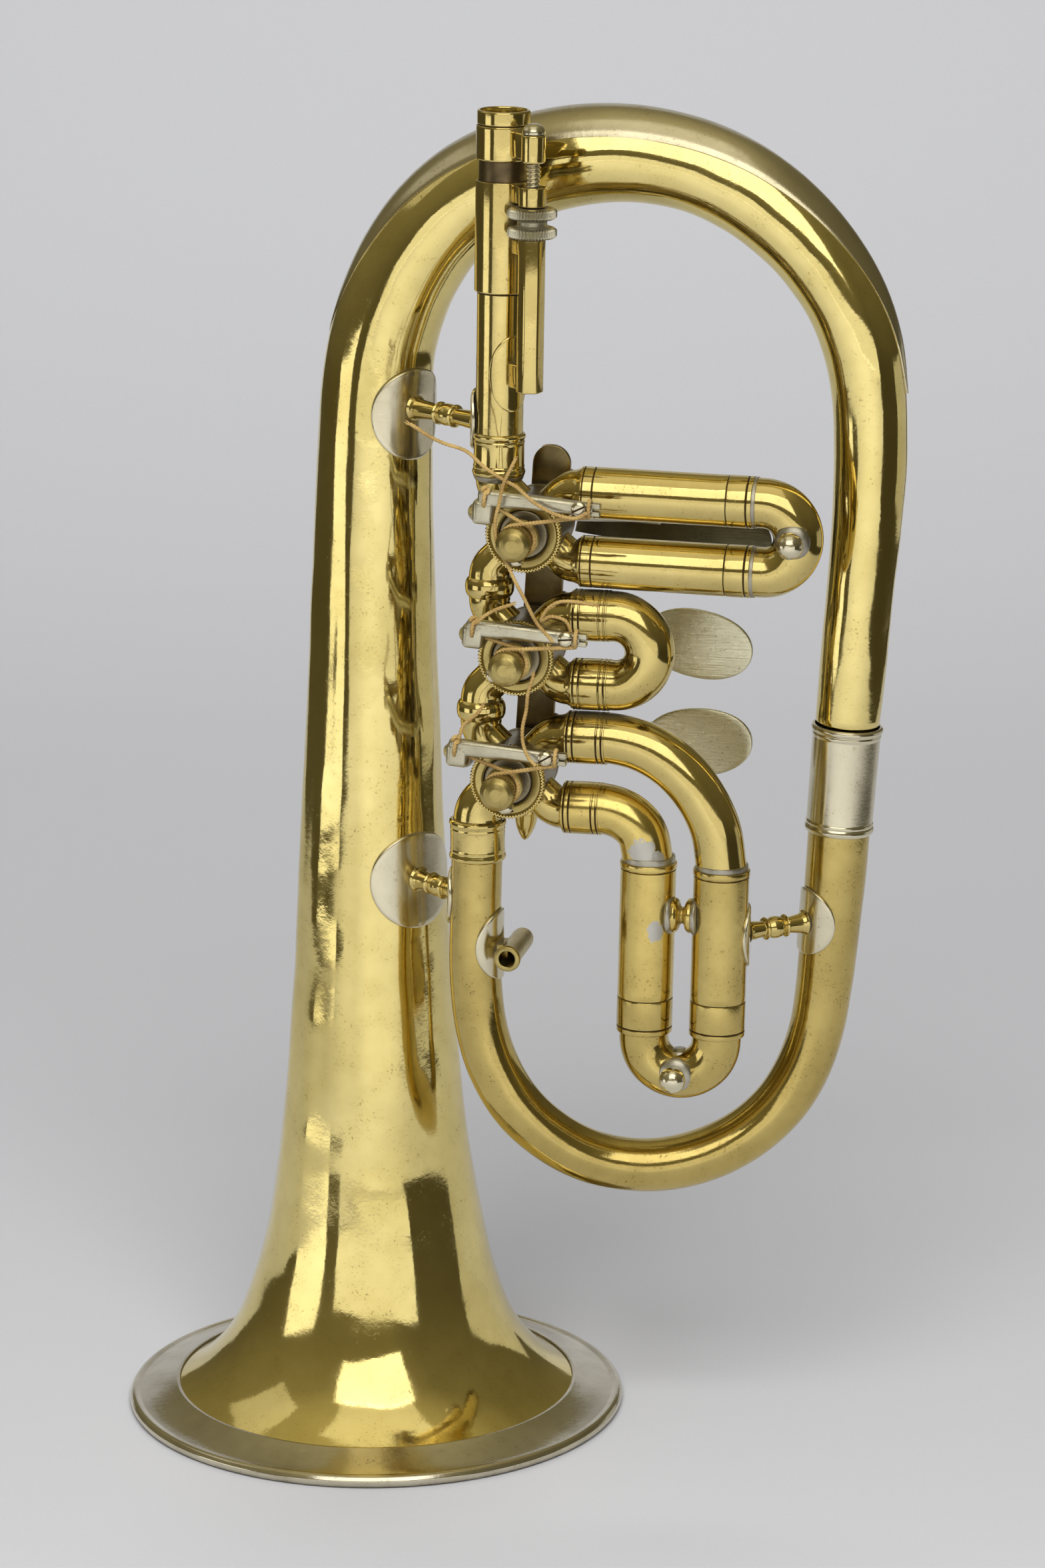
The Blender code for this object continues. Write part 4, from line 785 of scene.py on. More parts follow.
ferrule = Shape()
long = float(np.linalg.norm(FERRULE_TOP - FERRULE_FOOT))
ferrule_profile = [
    (8.1, long), (8.55, long), (8.95, long - 0.35), (9.05, long - 0.9), (8.85, long - 1.45),
    (8.6, long - 1.75), (8.72, long - 2.2), (8.62, long - 2.7), (8.5, long - 3.0), (8.32, 3.0),
    (8.5, 2.7), (8.55, 2.3), (8.35, 1.95), (8.6, 1.6), (8.78, 1.0), (8.62, 0.4), (8.35, 0.0),
    (7.9, 0.0),
]
lathe(ferrule, ferrule_profile, FERRULE_FOOT, FERRULE_TOP - FERRULE_FOOT, 96, soft=0.15)
ferrule.build("top_bow_ferrule", [NICKEL, SEAM_AND_GAP_SHADE], "bow_ferrule")

# ------------------------------------------------------------------ bottom bow
# Centre line down from the top bow's ferrule and up to the valves: (x, y, z, radius).
BOTTOM = (
    (122.5, -6.5, 169.0, 7.78), (122.2, -6.5, 165.0, 7.75), (121.6, -6.5, 154.1, 7.7),
    (119.9, -6.5, 133.1, 7.3), (118.9, -6.5, 122.5, 7.1), (117.3, -6.8, 111.7, 7.0),
    (113.9, -7.6, 100.9, 6.95), (108.4, -9.1, 91.4, 6.9), (100.3, -11.2, 83.6, 6.9),
    (90.4, -13.5, 78.2, 6.9), (80.5, -15.9, 75.7, 6.85), (70.5, -18.2, 75.7, 6.8),
    (60.6, -20.8, 78.3, 6.8), (51.2, -23.4, 84, 6.8), (43.6, -25.6, 92, 6.75),
    (37.9, -26.8, 102.2, 6.7), (34.7, -27, 112.5, 6.6), (33.3, -27, 124.5, 6.5),
    (33.2, -27, 140, 6.5), (33.7, -27, 159.0, 6.5),
)
bottom = Shape()
pipe(
    bottom, spline(BOTTOM, 1.3), 0.45, 88,
    bulge=lambda p: lumps(16, 0.16, 3.0)(p) + lumps(7, 0.035, 8.0)(p),
)
bottom.build("bottom_bow_tube", [BRASS_OLD, SEAM_AND_GAP_SHADE], "bottom_bow")

exit_ring = Shape()
exit_profile = [
    (6.1, 167.4), (6.7, 167.4), (7.1, 167.0), (7.2, 166.4), (7.0, 165.8), (6.86, 165.4),
    (6.95, 164.9), (6.85, 164.5), (6.85, 159.8), (6.95, 159.4), (6.86, 158.9), (7.0, 158.5),
    (7.2, 157.9), (7.05, 157.3), (6.7, 156.9), (6.1, 156.9),
]
lathe(exit_ring, exit_profile, (33.8, -27, 0), seg=88, soft=0.14)
exit_ring.build("exit_ferrule_ring", [BRASS, SEAM_AND_GAP_SHADE], "exit_ferrule")

# ------------------------------------------------------------------ mouthpipe and its receiver
# Profile heights here run along the leaning pipe from its line's crossing of Z = 0.
LEAN = 0.0158
LEAD = unit((LEAN, 0, 1))
SCREW_OFFSET = np.array((9.3, -9.0, 0))
TO_SCREW = unit(SCREW_OFFSET)
FACE = np.array([TO_SCREW, np.cross(UPRIGHT, TO_SCREW), (0, 0, 1.0)])


def lead(z):
    return np.array((39.2 + (z - 250) * LEAN, -27.0, z))


def screw_at(z):
    return lead(z) + SCREW_OFFSET


FOOT, SCREW_FOOT = lead(0), screw_at(0)

mouthpipe = Shape()
mouthpipe_profile = [
    (6.0, 327.9), (6.62, 327.9), (6.62, 300.9), (6.0, 300.6), (5.9, 300.4), (5.9, 259.0),
    (5.4, 259.0), (5.4, 300.0), (6.0, 301.4),
]
lathe(
    mouthpipe, mouthpipe_profile, FOOT, LEAD, 88, soft=0.22, dark=lambda r, h: 300.3 < h < 300.75
)
mouthpipe.build("mouthpipe_tube", [BRASS, SEAM_AND_GAP_SHADE], "mouthpipe")

ring = Shape()
ring_profile = [
    (5.8, 265.8), (6.2, 265.8), (6.55, 265.4), (6.6, 264.9), (6.4, 264.4), (6.25, 264.1),
    (6.4, 263.7), (6.3, 263.2), (6.26, 262.9), (6.26, 257.9), (6.4, 257.5), (6.28, 257.0),
    (6.45, 256.7), (6.6, 256.1), (6.45, 255.5), (6.1, 255.2), (5.7, 255.2),
]
solder_profile = [(5.6, 255.4), (6.35, 255.3), (6.1, 254.5), (5.75, 253.9), (5.4, 254.2)]
lathe(ring, ring_profile, FOOT, LEAD, 88, soft=0.12)
lathe(ring, solder_profile, FOOT, LEAD, 88, THIRD, 0.15)
ring.build("mouthpipe_ferrule_ring", [BRASS, SEAM_AND_GAP_SHADE, SOLDER], "mouthpipe_ferrule")

receiver = Shape()
receiver_profile = [
    (5.65, 344.7), (5.85, 344.95), (6.25, 344.95), (6.5, 344.6), (6.5, 341.75), (6.36, 341.55),
    (6.36, 341.35), (6.62, 341.2), (6.68, 340.9), (6.68, 333.3), (6.5, 333.0), (5.7, 333.0),
    (5.7, 308.0), (5.3, 308.0), (5.3, 330.0), (4.95, 334.0),
]
lathe(
    receiver, receiver_profile, FOOT, LEAD, 96, soft=0.15,
    dark=lambda r, h: 341.3 < h < 341.6 and r > 6,
)
stained_profile = [(5.5, 333.2), (5.9, 333.2), (5.86, 327.9), (5.86, 308.4), (5.5, 308.4)]
lathe(receiver, stained_profile, FOOT, LEAD, 88, THIRD, 0.1)
# The lug runs out from the receiver and closes round the head of the screw.
block(receiver, (6.4, 4.4, 6.4), lead(337.2) + TO_SCREW * 8.4, 0.5, FACE)
lug_profile = [
    (1.5, 340.2), (2.75, 340.2), (2.95, 339.9), (2.95, 333.9), (2.7, 333.5), (1.5, 333.5),
]
lathe(receiver, lug_profile, SCREW_FOOT, LEAD, 72, 0, 0.15)
receiver.build(
    "receiver_socket", [BRASS, SEAM_AND_GAP_SHADE, STAINED], "mouthpipe_receiver", "receiver"
)

screw = Shape()
screw_head = [
    (0, 343.0), (1.2, 342.85), (2.2, 342.3), (2.8, 341.4), (2.85, 340.5), (2.6, 340.35),
    (1.4, 340.3), (1.4, 331.0), (0, 331.0),
]
lathe(screw, screw_head, SCREW_FOOT, LEAD, 64, soft=0.3)
THREAD_LOW, THREAD_HIGH, THREAD_PITCH, THREAD_SEG = 290.0, 333.4, 1.05, 48
a = np.arange(THREAD_SEG) * TAU / THREAD_SEG
thread = []
for h in np.arange(THREAD_LOW, THREAD_HIGH, 0.08):
    phase = (h / THREAD_PITCH - a / TAU) % 1.0
    r = 1.38 + 0.5 * (1 - np.abs(2 * phase - 1)) ** 0.9
    r *= min(1.0, 0.75 + (h - THREAD_LOW) / 2.0)
    circle = np.outer(np.cos(a) * r, (1, 0, 0)) + np.outer(np.sin(a) * r, (0, 1, 0))
    thread.append(SCREW_FOOT + LEAD * h + circle)
thread_ends = [SCREW_FOOT + LEAD * THREAD_LOW, SCREW_FOOT + LEAD * THREAD_HIGH]
screw.put(
    np.concatenate(thread + [thread_ends]),
    skin(len(thread), THREAD_SEG), caps(len(thread), THREAD_SEG),
)
screw.build(
    "adjusting_screw_rod", [NICKEL, SEAM_AND_GAP_SHADE], "adjusting_screw", "receiver", sharp=60
)

nut = Shape()
nut_profile = [
    (1.75, 322.6), (4.3, 322.75), (5.2, 322.6), (6.0, 322.1), (6.0, 320.5), (5.2, 320.0),
    (4.2, 319.8), (3.65, 319.5), (3.65, 318.5), (4.2, 318.2), (5.2, 318.0), (6.0, 317.5),
    (6.0, 315.9), (5.2, 315.4), (4.3, 315.25), (1.75, 315.4),
]
lathe(nut, nut_profile, SCREW_FOOT, LEAD, 352, soft=0.22, knurl=milled(44, 0.5, 5.3))
nut.build(
    "thumb_nut_milled", [LEVER, SEAM_AND_GAP_SHADE], "thumb_nut", "thumb_nut", sharp=50
)

guide = Shape()
guide_profile = [(1.85, 327.7), (3.4, 327.7), (3.4, 322.95), (1.85, 322.95)]
lathe(guide, guide_profile, SCREW_FOOT, LEAD, 64, soft=0.3)
block(guide, (4.2, 3.6, 4.3), lead(325.3) + TO_SCREW * 8.3, 0.35, FACE)
guide.build("screw_guide", [BRASS, SEAM_AND_GAP_SHADE], "screw_guide_block")

# The six-sided sheath round the screw's lower part.
sheath = Shape()
hexagon = []
for k in range(6):
    p0, p1 = (np.array(cos_sin(degrees + 60 * k)) for degrees in (12, 72))
    for t in (0.02, 0.06, 0.12, 0.5, 0.88, 0.94, 0.98):
        q = p0 * (1 - t) + p1 * t
        hexagon.append(q * 3.45 * min(1.0, 0.955 / np.linalg.norm(q)))
hexagon = np.array(hexagon)
# (z, share of the full width), from the foot up and down into the bore.
sheath_levels = (
    (277.6, 0.93), (277.75, 0.98), (278.0, 1.0), (314.6, 1.0), (314.8, 0.98), (314.9, 0.93),
    (314.9, 0.62), (300, 0.62),
)
stack = []
for z, f in sheath_levels:
    mid = screw_at(z)
    corners = mid[:2] + hexagon * f
    stack.append(np.column_stack([corners, np.full(len(hexagon), z)]))
sheath.put(
    np.concatenate(stack + [[screw_at(277.6)], [screw_at(300)]]),
    skin(len(stack), len(hexagon)), caps(len(stack), len(hexagon)),
)
block(sheath, (5.0, 2.9, 5.8), lead(280.8) + TO_SCREW * 8.4, 0.45, FACE)
block(sheath, (4.6, 2.6, 3.6), lead(312.4) + TO_SCREW * 8.6, 0.4, FACE)
flange(sheath, lambda h: (lead(281.2 + h), 5.9), TO_SCREW, 9.4, 6.2, 0.42)
sheath.build("screw_sheath_tube", [BRASS, SEAM_AND_GAP_SHADE], "screw_sheath", sharp=28)

# ------------------------------------------------------------------ valves
V1, V2, V3 = VALVES = ((48.2, 243.0), (46.3, 212.0), (44.2, 180.6))  # centres, (x, z)
SCREW_TURNS = (-90.0, 212.0, -68.0)  # way each hub's side screw points, degrees from +X to +Z
LINK_X = (37.0, 34.8)  # the tubes that join valves 1-2 and 2-3
VY = -27.0  # the plane of the valve tubing


def left_neck(centre, sign, line_x, end_z, radius, bend=5.3):
    """A tube from a valve's -X side, turning up (sign 1) or down to the line x = line_x."""
    cx, cz = centre
    run = cx - line_x - bend * (1 - math.cos(math.pi / 4))
    way = [(cx - 2.2, VY, cz + sign * 2.2, radius - 0.35)]
    for degrees in np.linspace(45, 0, 10):
        cos, sin = cos_sin(degrees)
        z = cz + sign * (run + bend * (math.sin(math.pi / 4) - sin))
        way.append((line_x + bend * (1 - cos), VY, z, radius - 0.3 * degrees / 45))
    way.append((line_x, VY, end_z, radius))
    return way


def right_neck(centre, sign, leg_half, end_x, bend=5.6):
    """A tube from a valve's +X side, turning level at leg_half above or below its centre."""
    cx, cz = centre
    run = leg_half - bend * (1 - math.cos(math.pi / 4))
    way = [(cx + 2.2, VY, cz + sign * 2.2, 4.6)]
    for degrees in np.linspace(45, 0, 10):
        cos, sin = cos_sin(degrees)
        x = cx + run + bend * (math.sin(math.pi / 4) - sin)
        z = cz + sign * (leg_half - bend * (1 - cos))
        way.append((x, VY, z, 4.95 + 0.55 * (1 - degrees / 45)))
    x, _, z, _ = way[-1]
    return way + [(x + (end_x - x) * 0.45, VY, z, 5.9), (end_x, VY, z, 6.4)]


NECKS = (
    (
        left_neck(V1, 1, 39.3, 255.4, 5.75, 6.0), left_neck(V1, -1, LINK_X[0], 227.3, 5.15),
        right_neck(V1, 1, 8.65, 60.6), right_neck(V1, -1, 8.65, 60.4),
    ),
    (
        left_neck(V2, 1, LINK_X[0], 226.9, 5.15), left_neck(V2, -1, LINK_X[1], 195.9, 5.15),
        right_neck(V2, 1, 8.75, 58.7), right_neck(V2, -1, 8.75, 58.7),
    ),
    (
        left_neck(V3, 1, LINK_X[1], 195.5, 5.15), left_neck(V3, -1, 33.85, 164.0, 6.1, 6.8),
        right_neck(V3, 1, 9.0, 57.2), right_neck(V3, -1, 9.1, 56.4),
    ),
)
# Profiles of (radius, distance towards -Y).
DRUM_PROFILE = [
    (0, 19.9), (7.0, 19.9), (7.0, 19.6), (8.5, 19.6), (8.75, 19.2), (8.75, 17.0), (8.6, 16.7),
    (8.6, 2.6), (8.8, 2.3), (8.8, 0.8), (8.4, 0.2), (6.0, -0.6), (0, -0.6),
]
BEARING_PROFILE = [
    (2.3, 1.7), (5.6, 1.7), (6.05, 1.3), (6.05, 0.1), (7.3, 0.0), (7.3, -1.4), (2.3, -1.4),
]
LOCK_PROFILE = [(6.2, 1.1), (6.6, 1.35), (8.1, 1.55), (8.45, 1.2), (8.45, 0.0), (6.2, 0.0)]
LOCK_RIM_PROFILE = [
    (8.3, 1.2), (8.75, 1.75), (9.0, 1.95), (9.4, 1.95), (9.6, 1.7), (9.6, 0.3), (9.3, 0.0),
    (8.3, 0.0),
]
HUB_PROFILE = [
    (0, 33.6), (1.5, 33.55), (3.0, 33.1), (4.1, 32.2), (4.45, 31.5), (4.45, 29.9), (4.1, 29.5),
    (3.5, 29.4), (3.5, 24.2), (4.4, 23.9), (4.75, 23.6), (4.75, 22.9), (4.4, 22.5), (2.2, 22.5),
    (2.2, 15.8), (7.2, 15.8), (7.2, 0.4), (0, 0.4),
]
SIDE_SCREW_PROFILE = [
    (0, 5.9), (1.2, 5.85), (1.75, 5.45), (1.95, 4.9), (1.95, 4.3), (1.3, 4.1), (1.3, 2.4), (0, 2.4),
]


def hub_knurl(r, h, angle):
    cut = r - 0.42 * (0.5 + 0.5 * np.cos(36 * angle)) ** 0.8
    return np.where((r > 4.2) & (h > 29.0), cut, r)


for number, ((cx, cz), necks, degrees) in enumerate(zip(VALVES, NECKS, SCREW_TURNS), 1):
    casing = Shape()
    lathe(casing, DRUM_PROFILE, (cx, -18.4, cz), FRONT, 112, 0, 0.25)
    for k, way in enumerate(necks):
        pipe(casing, spline(way, 0.7), 0.6, 72, THIRD, bulge=lumps(9, 0.05, number + k))
    name = f"valve_{number}"
    casing.build(f"{name}_drum", [CASING, SEAM_AND_GAP_SHADE, BRASS], f"{name}_casing")

    bearing = Shape()
    lathe(bearing, BEARING_PROFILE, (cx, -37.9, cz), FRONT, 88, 0, 0.2)
    bearing.build(f"{name}_bearing", [CASING, SEAM_AND_GAP_SHADE], f"{name}_bearing_plate")

    lock = Shape()
    lock_at = (cx, -38.45, cz)
    lathe(lock, LOCK_PROFILE, lock_at, FRONT, 96, 0, 0.15)
    lathe(lock, LOCK_RIM_PROFILE, lock_at, FRONT, 504, THIRD, 0.12, milled(72, 0.46, 9.05))
    lock.build(
        f"{name}_lock_ring_milled", [DULL, SEAM_AND_GAP_SHADE, BRASS], f"{name}_lock_ring", sharp=50
    )

    rotor = Shape()
    lathe(rotor, HUB_PROFILE, (cx, -20.5, cz), FRONT, 336, 0, 0.22, hub_knurl)
    cos, sin = cos_sin(degrees)
    out = np.array((cos, 0, sin))
    neck_at = np.array((cx, -49.0, cz))
    lathe(rotor, SIDE_SCREW_PROFILE, neck_at, out, 64, THIRD, 0.2)
    slit_side = np.cross(out, unit((0.4, 1, 0.3)))
    slit_axes = (out, slit_side, np.cross(out, slit_side))
    # the slot is a dark slab, painted shade in place of a cut
    block(rotor, (0.5, 3.3, 0.42), neck_at + out * 5.72, 0.05, slit_axes, DARK, 1)
    rotor.build(
        f"{name}_hub", [DULL, SEAM_AND_GAP_SHADE, NICKEL], f"{name}_rotor", f"rotor_{number}",
        sharp=45,
    )

for name, x, z0, z1 in (("1_2", LINK_X[0], 224.7, 229.3), ("2_3", LINK_X[1], 193.4, 198.0)):
    link_ring = Shape()
    link_profile = [
        (4.9, z0 - 0.2), (5.3, z0 - 0.2), (5.75, z0 + 0.4), (6.05, z0 + 1.2),
        (6.15, (z0 + z1) / 2), (6.05, z1 - 1.2), (5.75, z1 - 0.4), (5.3, z1 + 0.2),
        (4.9, z1 + 0.2),
    ]
    lathe(link_ring, link_profile, (x, VY, 0), seg=80)
    link_ring.build(f"link_sleeve_{name}", [BRASS, SEAM_AND_GAP_SHADE], f"link_ferrule_{name}")

# ------------------------------------------------------------------ slides and loops
HALF_1, HALF_2, HALF_3 = 8.65, 8.75, 9.25  # half the spacing of each loop's two legs
SLIDE_1 = np.array((60.7, VY, 242.98))
SLIDE_1_ALONG, SLIDE_1_UP = np.array((0.99982, 0, -0.019)), np.array((0.019, 0, 0.99982))
KNOB = [
    (0, 7.15), (0.9, 7.05), (1.8, 6.7), (2.6, 6.05), (3.15, 5.2), (3.35, 4.1), (3.2, 3.1),
    (2.7, 2.2), (2.0, 1.6), (1.9, 1.2), (2.5, 0.9), (2.5, -0.5), (0, -0.5),
]
COLLAR = [(0, 1.25), (2.0, 1.2), (3.1, 0.85), (4.0, 0.3), (4.5, -0.5), (4.3, -1.2), (0, -1.2)]


def slide1(along, up, *radius):
    return np.array([*(SLIDE_1 + SLIDE_1_ALONG * along + SLIDE_1_UP * up), *radius])


def loop2_at(x, up, *radius):
    return np.array([x, VY, V2[1] + up, *radius])


def slide3(down, side, *radius):
    return np.array([86.32 - 0.0204 * down + side, VY, 141.0 - down, *radius])


def crook(shape, place, start, end, crown, half, radius, bulge):
    """Two legs from start to end, joined by a half circle centred at crown."""
    rows = [place(start, half, radius), place(end, half, radius)]
    for k in range(49):
        b = math.pi * k / 48
        rows.append(place(crown + half * math.sin(b), half * math.cos(b), radius))
    rows += [place(end, -half, radius), place(start, -half, radius)]
    pipe(shape, even(np.array(rows), 0.8), 0.45, 88, ref=FRONT, bulge=bulge)


def pull_knob(which, tip):
    knob = Shape()
    lathe(knob, KNOB, (tip[0], VY - 6.05, tip[2]), FRONT, 80, 0, 0.3)
    lathe(knob, COLLAR, (tip[0], VY - 6.0, tip[2]), FRONT, 64, THIRD, 0.4)
    slide = f"{which}_slide"
    knob.build(
        f"{slide}_pull_knob", [NICKEL, SEAM_AND_GAP_SHADE, SOLDER], f"{slide}_knob", slide
    )


for sign, side in ((1, "upper"), (-1, "lower")):
    leg = Shape()
    up = sign * HALF_1
    pipe(
        leg, spline([slide1(-0.2, up, 6.42), slide1(35.75, up, 6.42)], 1.5), 0.36, 96,
        grooves=((0.5, 0.12, 0.14), (3.1, 0.13, 0.16)), bulge=lumps(14, 0.05, sign * 2.0),
    )
    leg.build(
        f"first_slide_{side}_tube", [BRASS, SEAM_AND_GAP_SHADE], f"first_slide_{side}_leg"
    )

bow1 = Shape()
crook(bow1, slide1, 36.2, 44.5, 44.7, HALF_1, 6.17, lumps(9, 0.07, 1.0))
for up in (HALF_1, -HALF_1):
    pipe(bow1, spline([slide1(7, up, 5.75), slide1(37, up, 5.75)], 3), 0.4, 48)
    for start, end, r_in, r_out, grooves, mat, soft in (
        # a dark ring in the gap at the leg's end, painted shade
        (35.85, 36.3, 5.6, 6.12, (), DARK, 0.05),
        (36.1, 42.3, 5.8, 6.46, (4.9,), 0, 0.22),
        (42.2, 43.2, 5.9, 6.34, (), THIRD, 0.3),
    ):
        sleeve(bow1, slide1(start, up), slide1(end, up), r_in, r_out, grooves, mat, 96, soft)
bow1.build(
    "first_slide_crook", [BRASS, SEAM_AND_GAP_SHADE, SOLDER], "first_slide_bow", "first_slide"
)
pull_knob("first", slide1(44.7 + 8.0, 0.5))

loop2 = Shape()
crook(loop2, loop2_at, 58.3, 68.4, 68.6, HALF_2, 6.24, lumps(9, 0.08, 4.0))
for up in (HALF_2, -HALF_2):
    sleeve(loop2, loop2_at(58.5, up), loop2_at(67.5, up), 5.9, 6.45, (0.6, 2.0, 7.0, 8.3), seg=96)
loop2.build("second_loop_crook", [BRASS, SEAM_AND_GAP_SHADE], "second_valve_loop")

z_upper, z_lower = V3[1] + 9.0, V3[1] - 9.1
outer = Shape()
outer_way = [
    (57.0, VY, z_upper, 6.35), (68.5, VY, z_upper, 6.35), (76.0, VY, 187.9, 6.35),
    (83.6, VY, 183.6, 6.35), (90.0, VY, 176.6, 6.35), (94.2, VY, 168.0, 6.35),
    slide3(-16.5, HALF_3, 6.35),
]
pipe(outer, spline(outer_way, 0.9), 0.45, 88, ref=FRONT, bulge=lumps(10, 0.09, 6.0))
sleeve(outer, (57.0, VY, z_upper), (67.0, VY, z_upper), 6.0, 6.6, (0.6, 2.0, 8.0, 9.3), seg=96)
sleeve(outer, slide3(-18.2, HALF_3), slide3(-16.6, HALF_3), 6.0, 6.62, (), THIRD, 96, 0.35)
outer.build("third_outer_crook", [BRASS, SEAM_AND_GAP_SHADE, SOLDER], "third_loop_outer_crook")

inner = Shape()
inner_way = [
    (56.2, VY, z_lower, 6.35), (66.6, VY, z_lower, 6.35), (71.6, VY, 169.9, 6.35),
    (75.6, VY, 166.0, 6.35), slide3(-17.0, -HALF_3, 6.35),
]
pipe(inner, spline(inner_way, 0.9), 0.45, 88, ref=FRONT, bulge=lumps(10, 0.09, 9.0))
sleeve(inner, (56.2, VY, z_lower), (65.5, VY, z_lower), 6.0, 6.6, (0.6, 1.9, 7.6, 8.8), seg=96)
sleeve(inner, slide3(-19.4, -HALF_3), slide3(-17.6, -HALF_3), 6.0, 6.66, (), THIRD, 96, 0.4)
inner.build(
    "third_inner_crook", [SPOTTED, SEAM_AND_GAP_SHADE, SOLDER], "third_loop_inner_crook"
)

for sign, side, top, mat in ((1, "outer", -16.8, BRASS_OLD), (-1, "inner", -17.8, SPOTTED)):
    leg = Shape()
    x = sign * HALF_3
    pipe(
        leg, spline([slide3(top + 1.4, x, 6.96), slide3(17.0, x, 6.96)], 1.5), 0.5, 96,
        grooves=((0.35, 0.1, 0.1),), bulge=lumps(14, 0.06, sign * 5.0),
    )
    sleeve(leg, slide3(top + 1.5, x), slide3(top - 0.1, x), 6.2, 7.15, seg=96, soft=0.35)
    leg.build(f"third_slide_{side}_tube", [mat, SEAM_AND_GAP_SHADE], f"third_slide_{side}_leg")

bow3 = Shape()
CROWN_3 = 28.0
crook(bow3, slide3, 20.2, 27.9, CROWN_3, HALF_3, 6.2, lumps(9, 0.1, 7.0))
for x in (HALF_3, -HALF_3):
    pipe(bow3, spline([slide3(-8, x, 6.3), slide3(21, x, 6.3)], 3), 0.4, 48)
    # a dark ring in the gap at the leg's end, painted shade
    sleeve(bow3, slide3(17.0, x), slide3(17.6, x), 6.0, 6.6, (), DARK, 96, 0.05)
    sleeve(bow3, slide3(17.4, x), slide3(26.3, x), 6.1, 7.02, (7.4,), 0, 96, 0.3)
blob = [(0, 0.55), (1.3, 0.4), (2.4, -0.2), (3.0, -1.2), (0, -1.6)]
lathe(bow3, blob, slide3(CROWN_3 + 2.9, 0), UPRIGHT, 48, THIRD, 0.3)
bow3.build(
    "third_slide_crook", [BRASS_OLD, SEAM_AND_GAP_SHADE, SOLDER], "third_slide_bow",
    "third_slide",
)
pull_knob("third", slide3(CROWN_3 + 8.0, 0))

# A spool between the third slide's legs.
spacer = Shape()
forward = np.array((0, -1.6, 0))
spool_left, spool_right = (slide3(141.0 - 145.6, x) for x in (-HALF_3 + 6.2, HALF_3 - 6.2))
across_gap = spool_right - spool_left
gap = np.linalg.norm(across_gap)
spool_half = [(0, 0), (3.6, 0), (4.3, 0.5), (4.45, 1.3), (3.9, 2.0), (2.4, 2.5)]
spool = spool_half + [(2.0, gap / 2)] + [(r, gap - h) for r, h in spool_half[::-1]]
lathe(spacer, spool, spool_left + forward, across_gap, 64, 0, 0.25)
spool_solder = [(0, 1.3), (3.4, 1.1), (4.6, 0.5), (5.0, -0.4), (4.4, -1.0), (0, -1.0)]
for end, sign in ((spool_left, 1), (spool_right, -1)):
    lathe(spacer, spool_solder, end + forward, across_gap * sign, 56, THIRD, 0.3)
spacer.build("slide_spacer_spool", [SPOTTED, SEAM_AND_GAP_SHADE, SOLDER], "slide_spacer")


# ------------------------------------------------------------------ braces
def on_bell(z):
    rows = np.array(BELL + BOW[:4])
    x, y, radius = (float(np.interp(z, rows[:, 2], rows[:, c])) for c in (0, 1, 3))
    return np.array([x, y, z]), radius


def exit_pipe(z):
    return np.array((33.2 + 0.4 * max(z - 140.0, 0) / 16.1, -27, z)), 6.5


def bow_pipe(z):
    return np.array((119.9 + (z - 133.1) * 0.081, -6.5, z)), 7.32 + (z - 133.1) * 0.019


def post(shape, a, b):
    """A turned post: flared feet, a bead on each side and a barrel between them."""
    long = np.linalg.norm(b - a)
    m = long / 2
    half = [
        (0, 0.0), (3.3, 0.0), (2.75, 0.5), (2.45, 1.3), (2.0, m - 3.7), (2.05, m - 3.45),
        (2.6, m - 3.25), (2.95, m - 2.85), (2.6, m - 2.45), (2.15, m - 2.25), (2.3, m - 1.9),
        (2.72, m - 1.0), (2.85, m),
    ]
    profile = half + [(r, long - h) for r, h in half[::-1][1:]]
    lathe(shape, profile, a, b - a, 64, 0, 0.12)


def brace(name, spines, sizes, ends, lifts, post_at=(0.0, 0.0)):
    """Two discs (half height, half width) on two tubes, and a post between them."""
    (a, ra), (b, rb) = (spine(h) for spine, h in zip(spines, post_at))
    way = unit(b - a)
    for tag, spine, out, size, end, lift, seed in zip(
        "ab", spines, (way, -way), sizes, ends, lifts, (0.4, 2.1)
    ):
        disc = Shape()
        flange(disc, lambda h: (spine(h)[0], spine(h)[1] + lift), out, *size, 0.6, seed=seed)
        disc.build(f"{name}_disc_{tag}", [NICKEL, SEAM_AND_GAP_SHADE], f"{name}_{end}")
    rod = Shape()
    post(rod, a + way * (ra + lifts[0] + 0.45), b - way * (rb + lifts[1] + 0.45))
    rod.build(f"{name}_turned_post", [BRASS, SEAM_AND_GAP_SHADE], f"{name}_post")


brace(
    "upper_brace", (lambda h: on_bell(266.4 + h), lambda h: (lead(268.4 + h), 6.0)),
    sizes=((11.5, 11.7), (8.1, 7.8)), ends=("bell_flange", "pipe_flange"),
    lifts=(0.3, 0.55), post_at=(1.0, -1.0),
)
brace(
    "lower_brace", (lambda h: on_bell(146.3 + h), lambda h: exit_pipe(146.3 + h)),
    sizes=((12.4, 13.2), (8.2, 8.2)), ends=("bell_flange", "pipe_flange"), lifts=(0.3, 0.15),
)
brace(
    "slide_brace", (lambda h: (slide3(0.6 - h, HALF_3), 6.96), lambda h: bow_pipe(140.6 + h)),
    sizes=((8.4, 8.2), (8.6, 8.8)), ends=("leg_flange", "bow_flange"), lifts=(0.1, 0.15),
)


def lyre_pipe(h):
    centre, radius = exit_pipe(135.2 + h)
    return centre, radius + 0.1


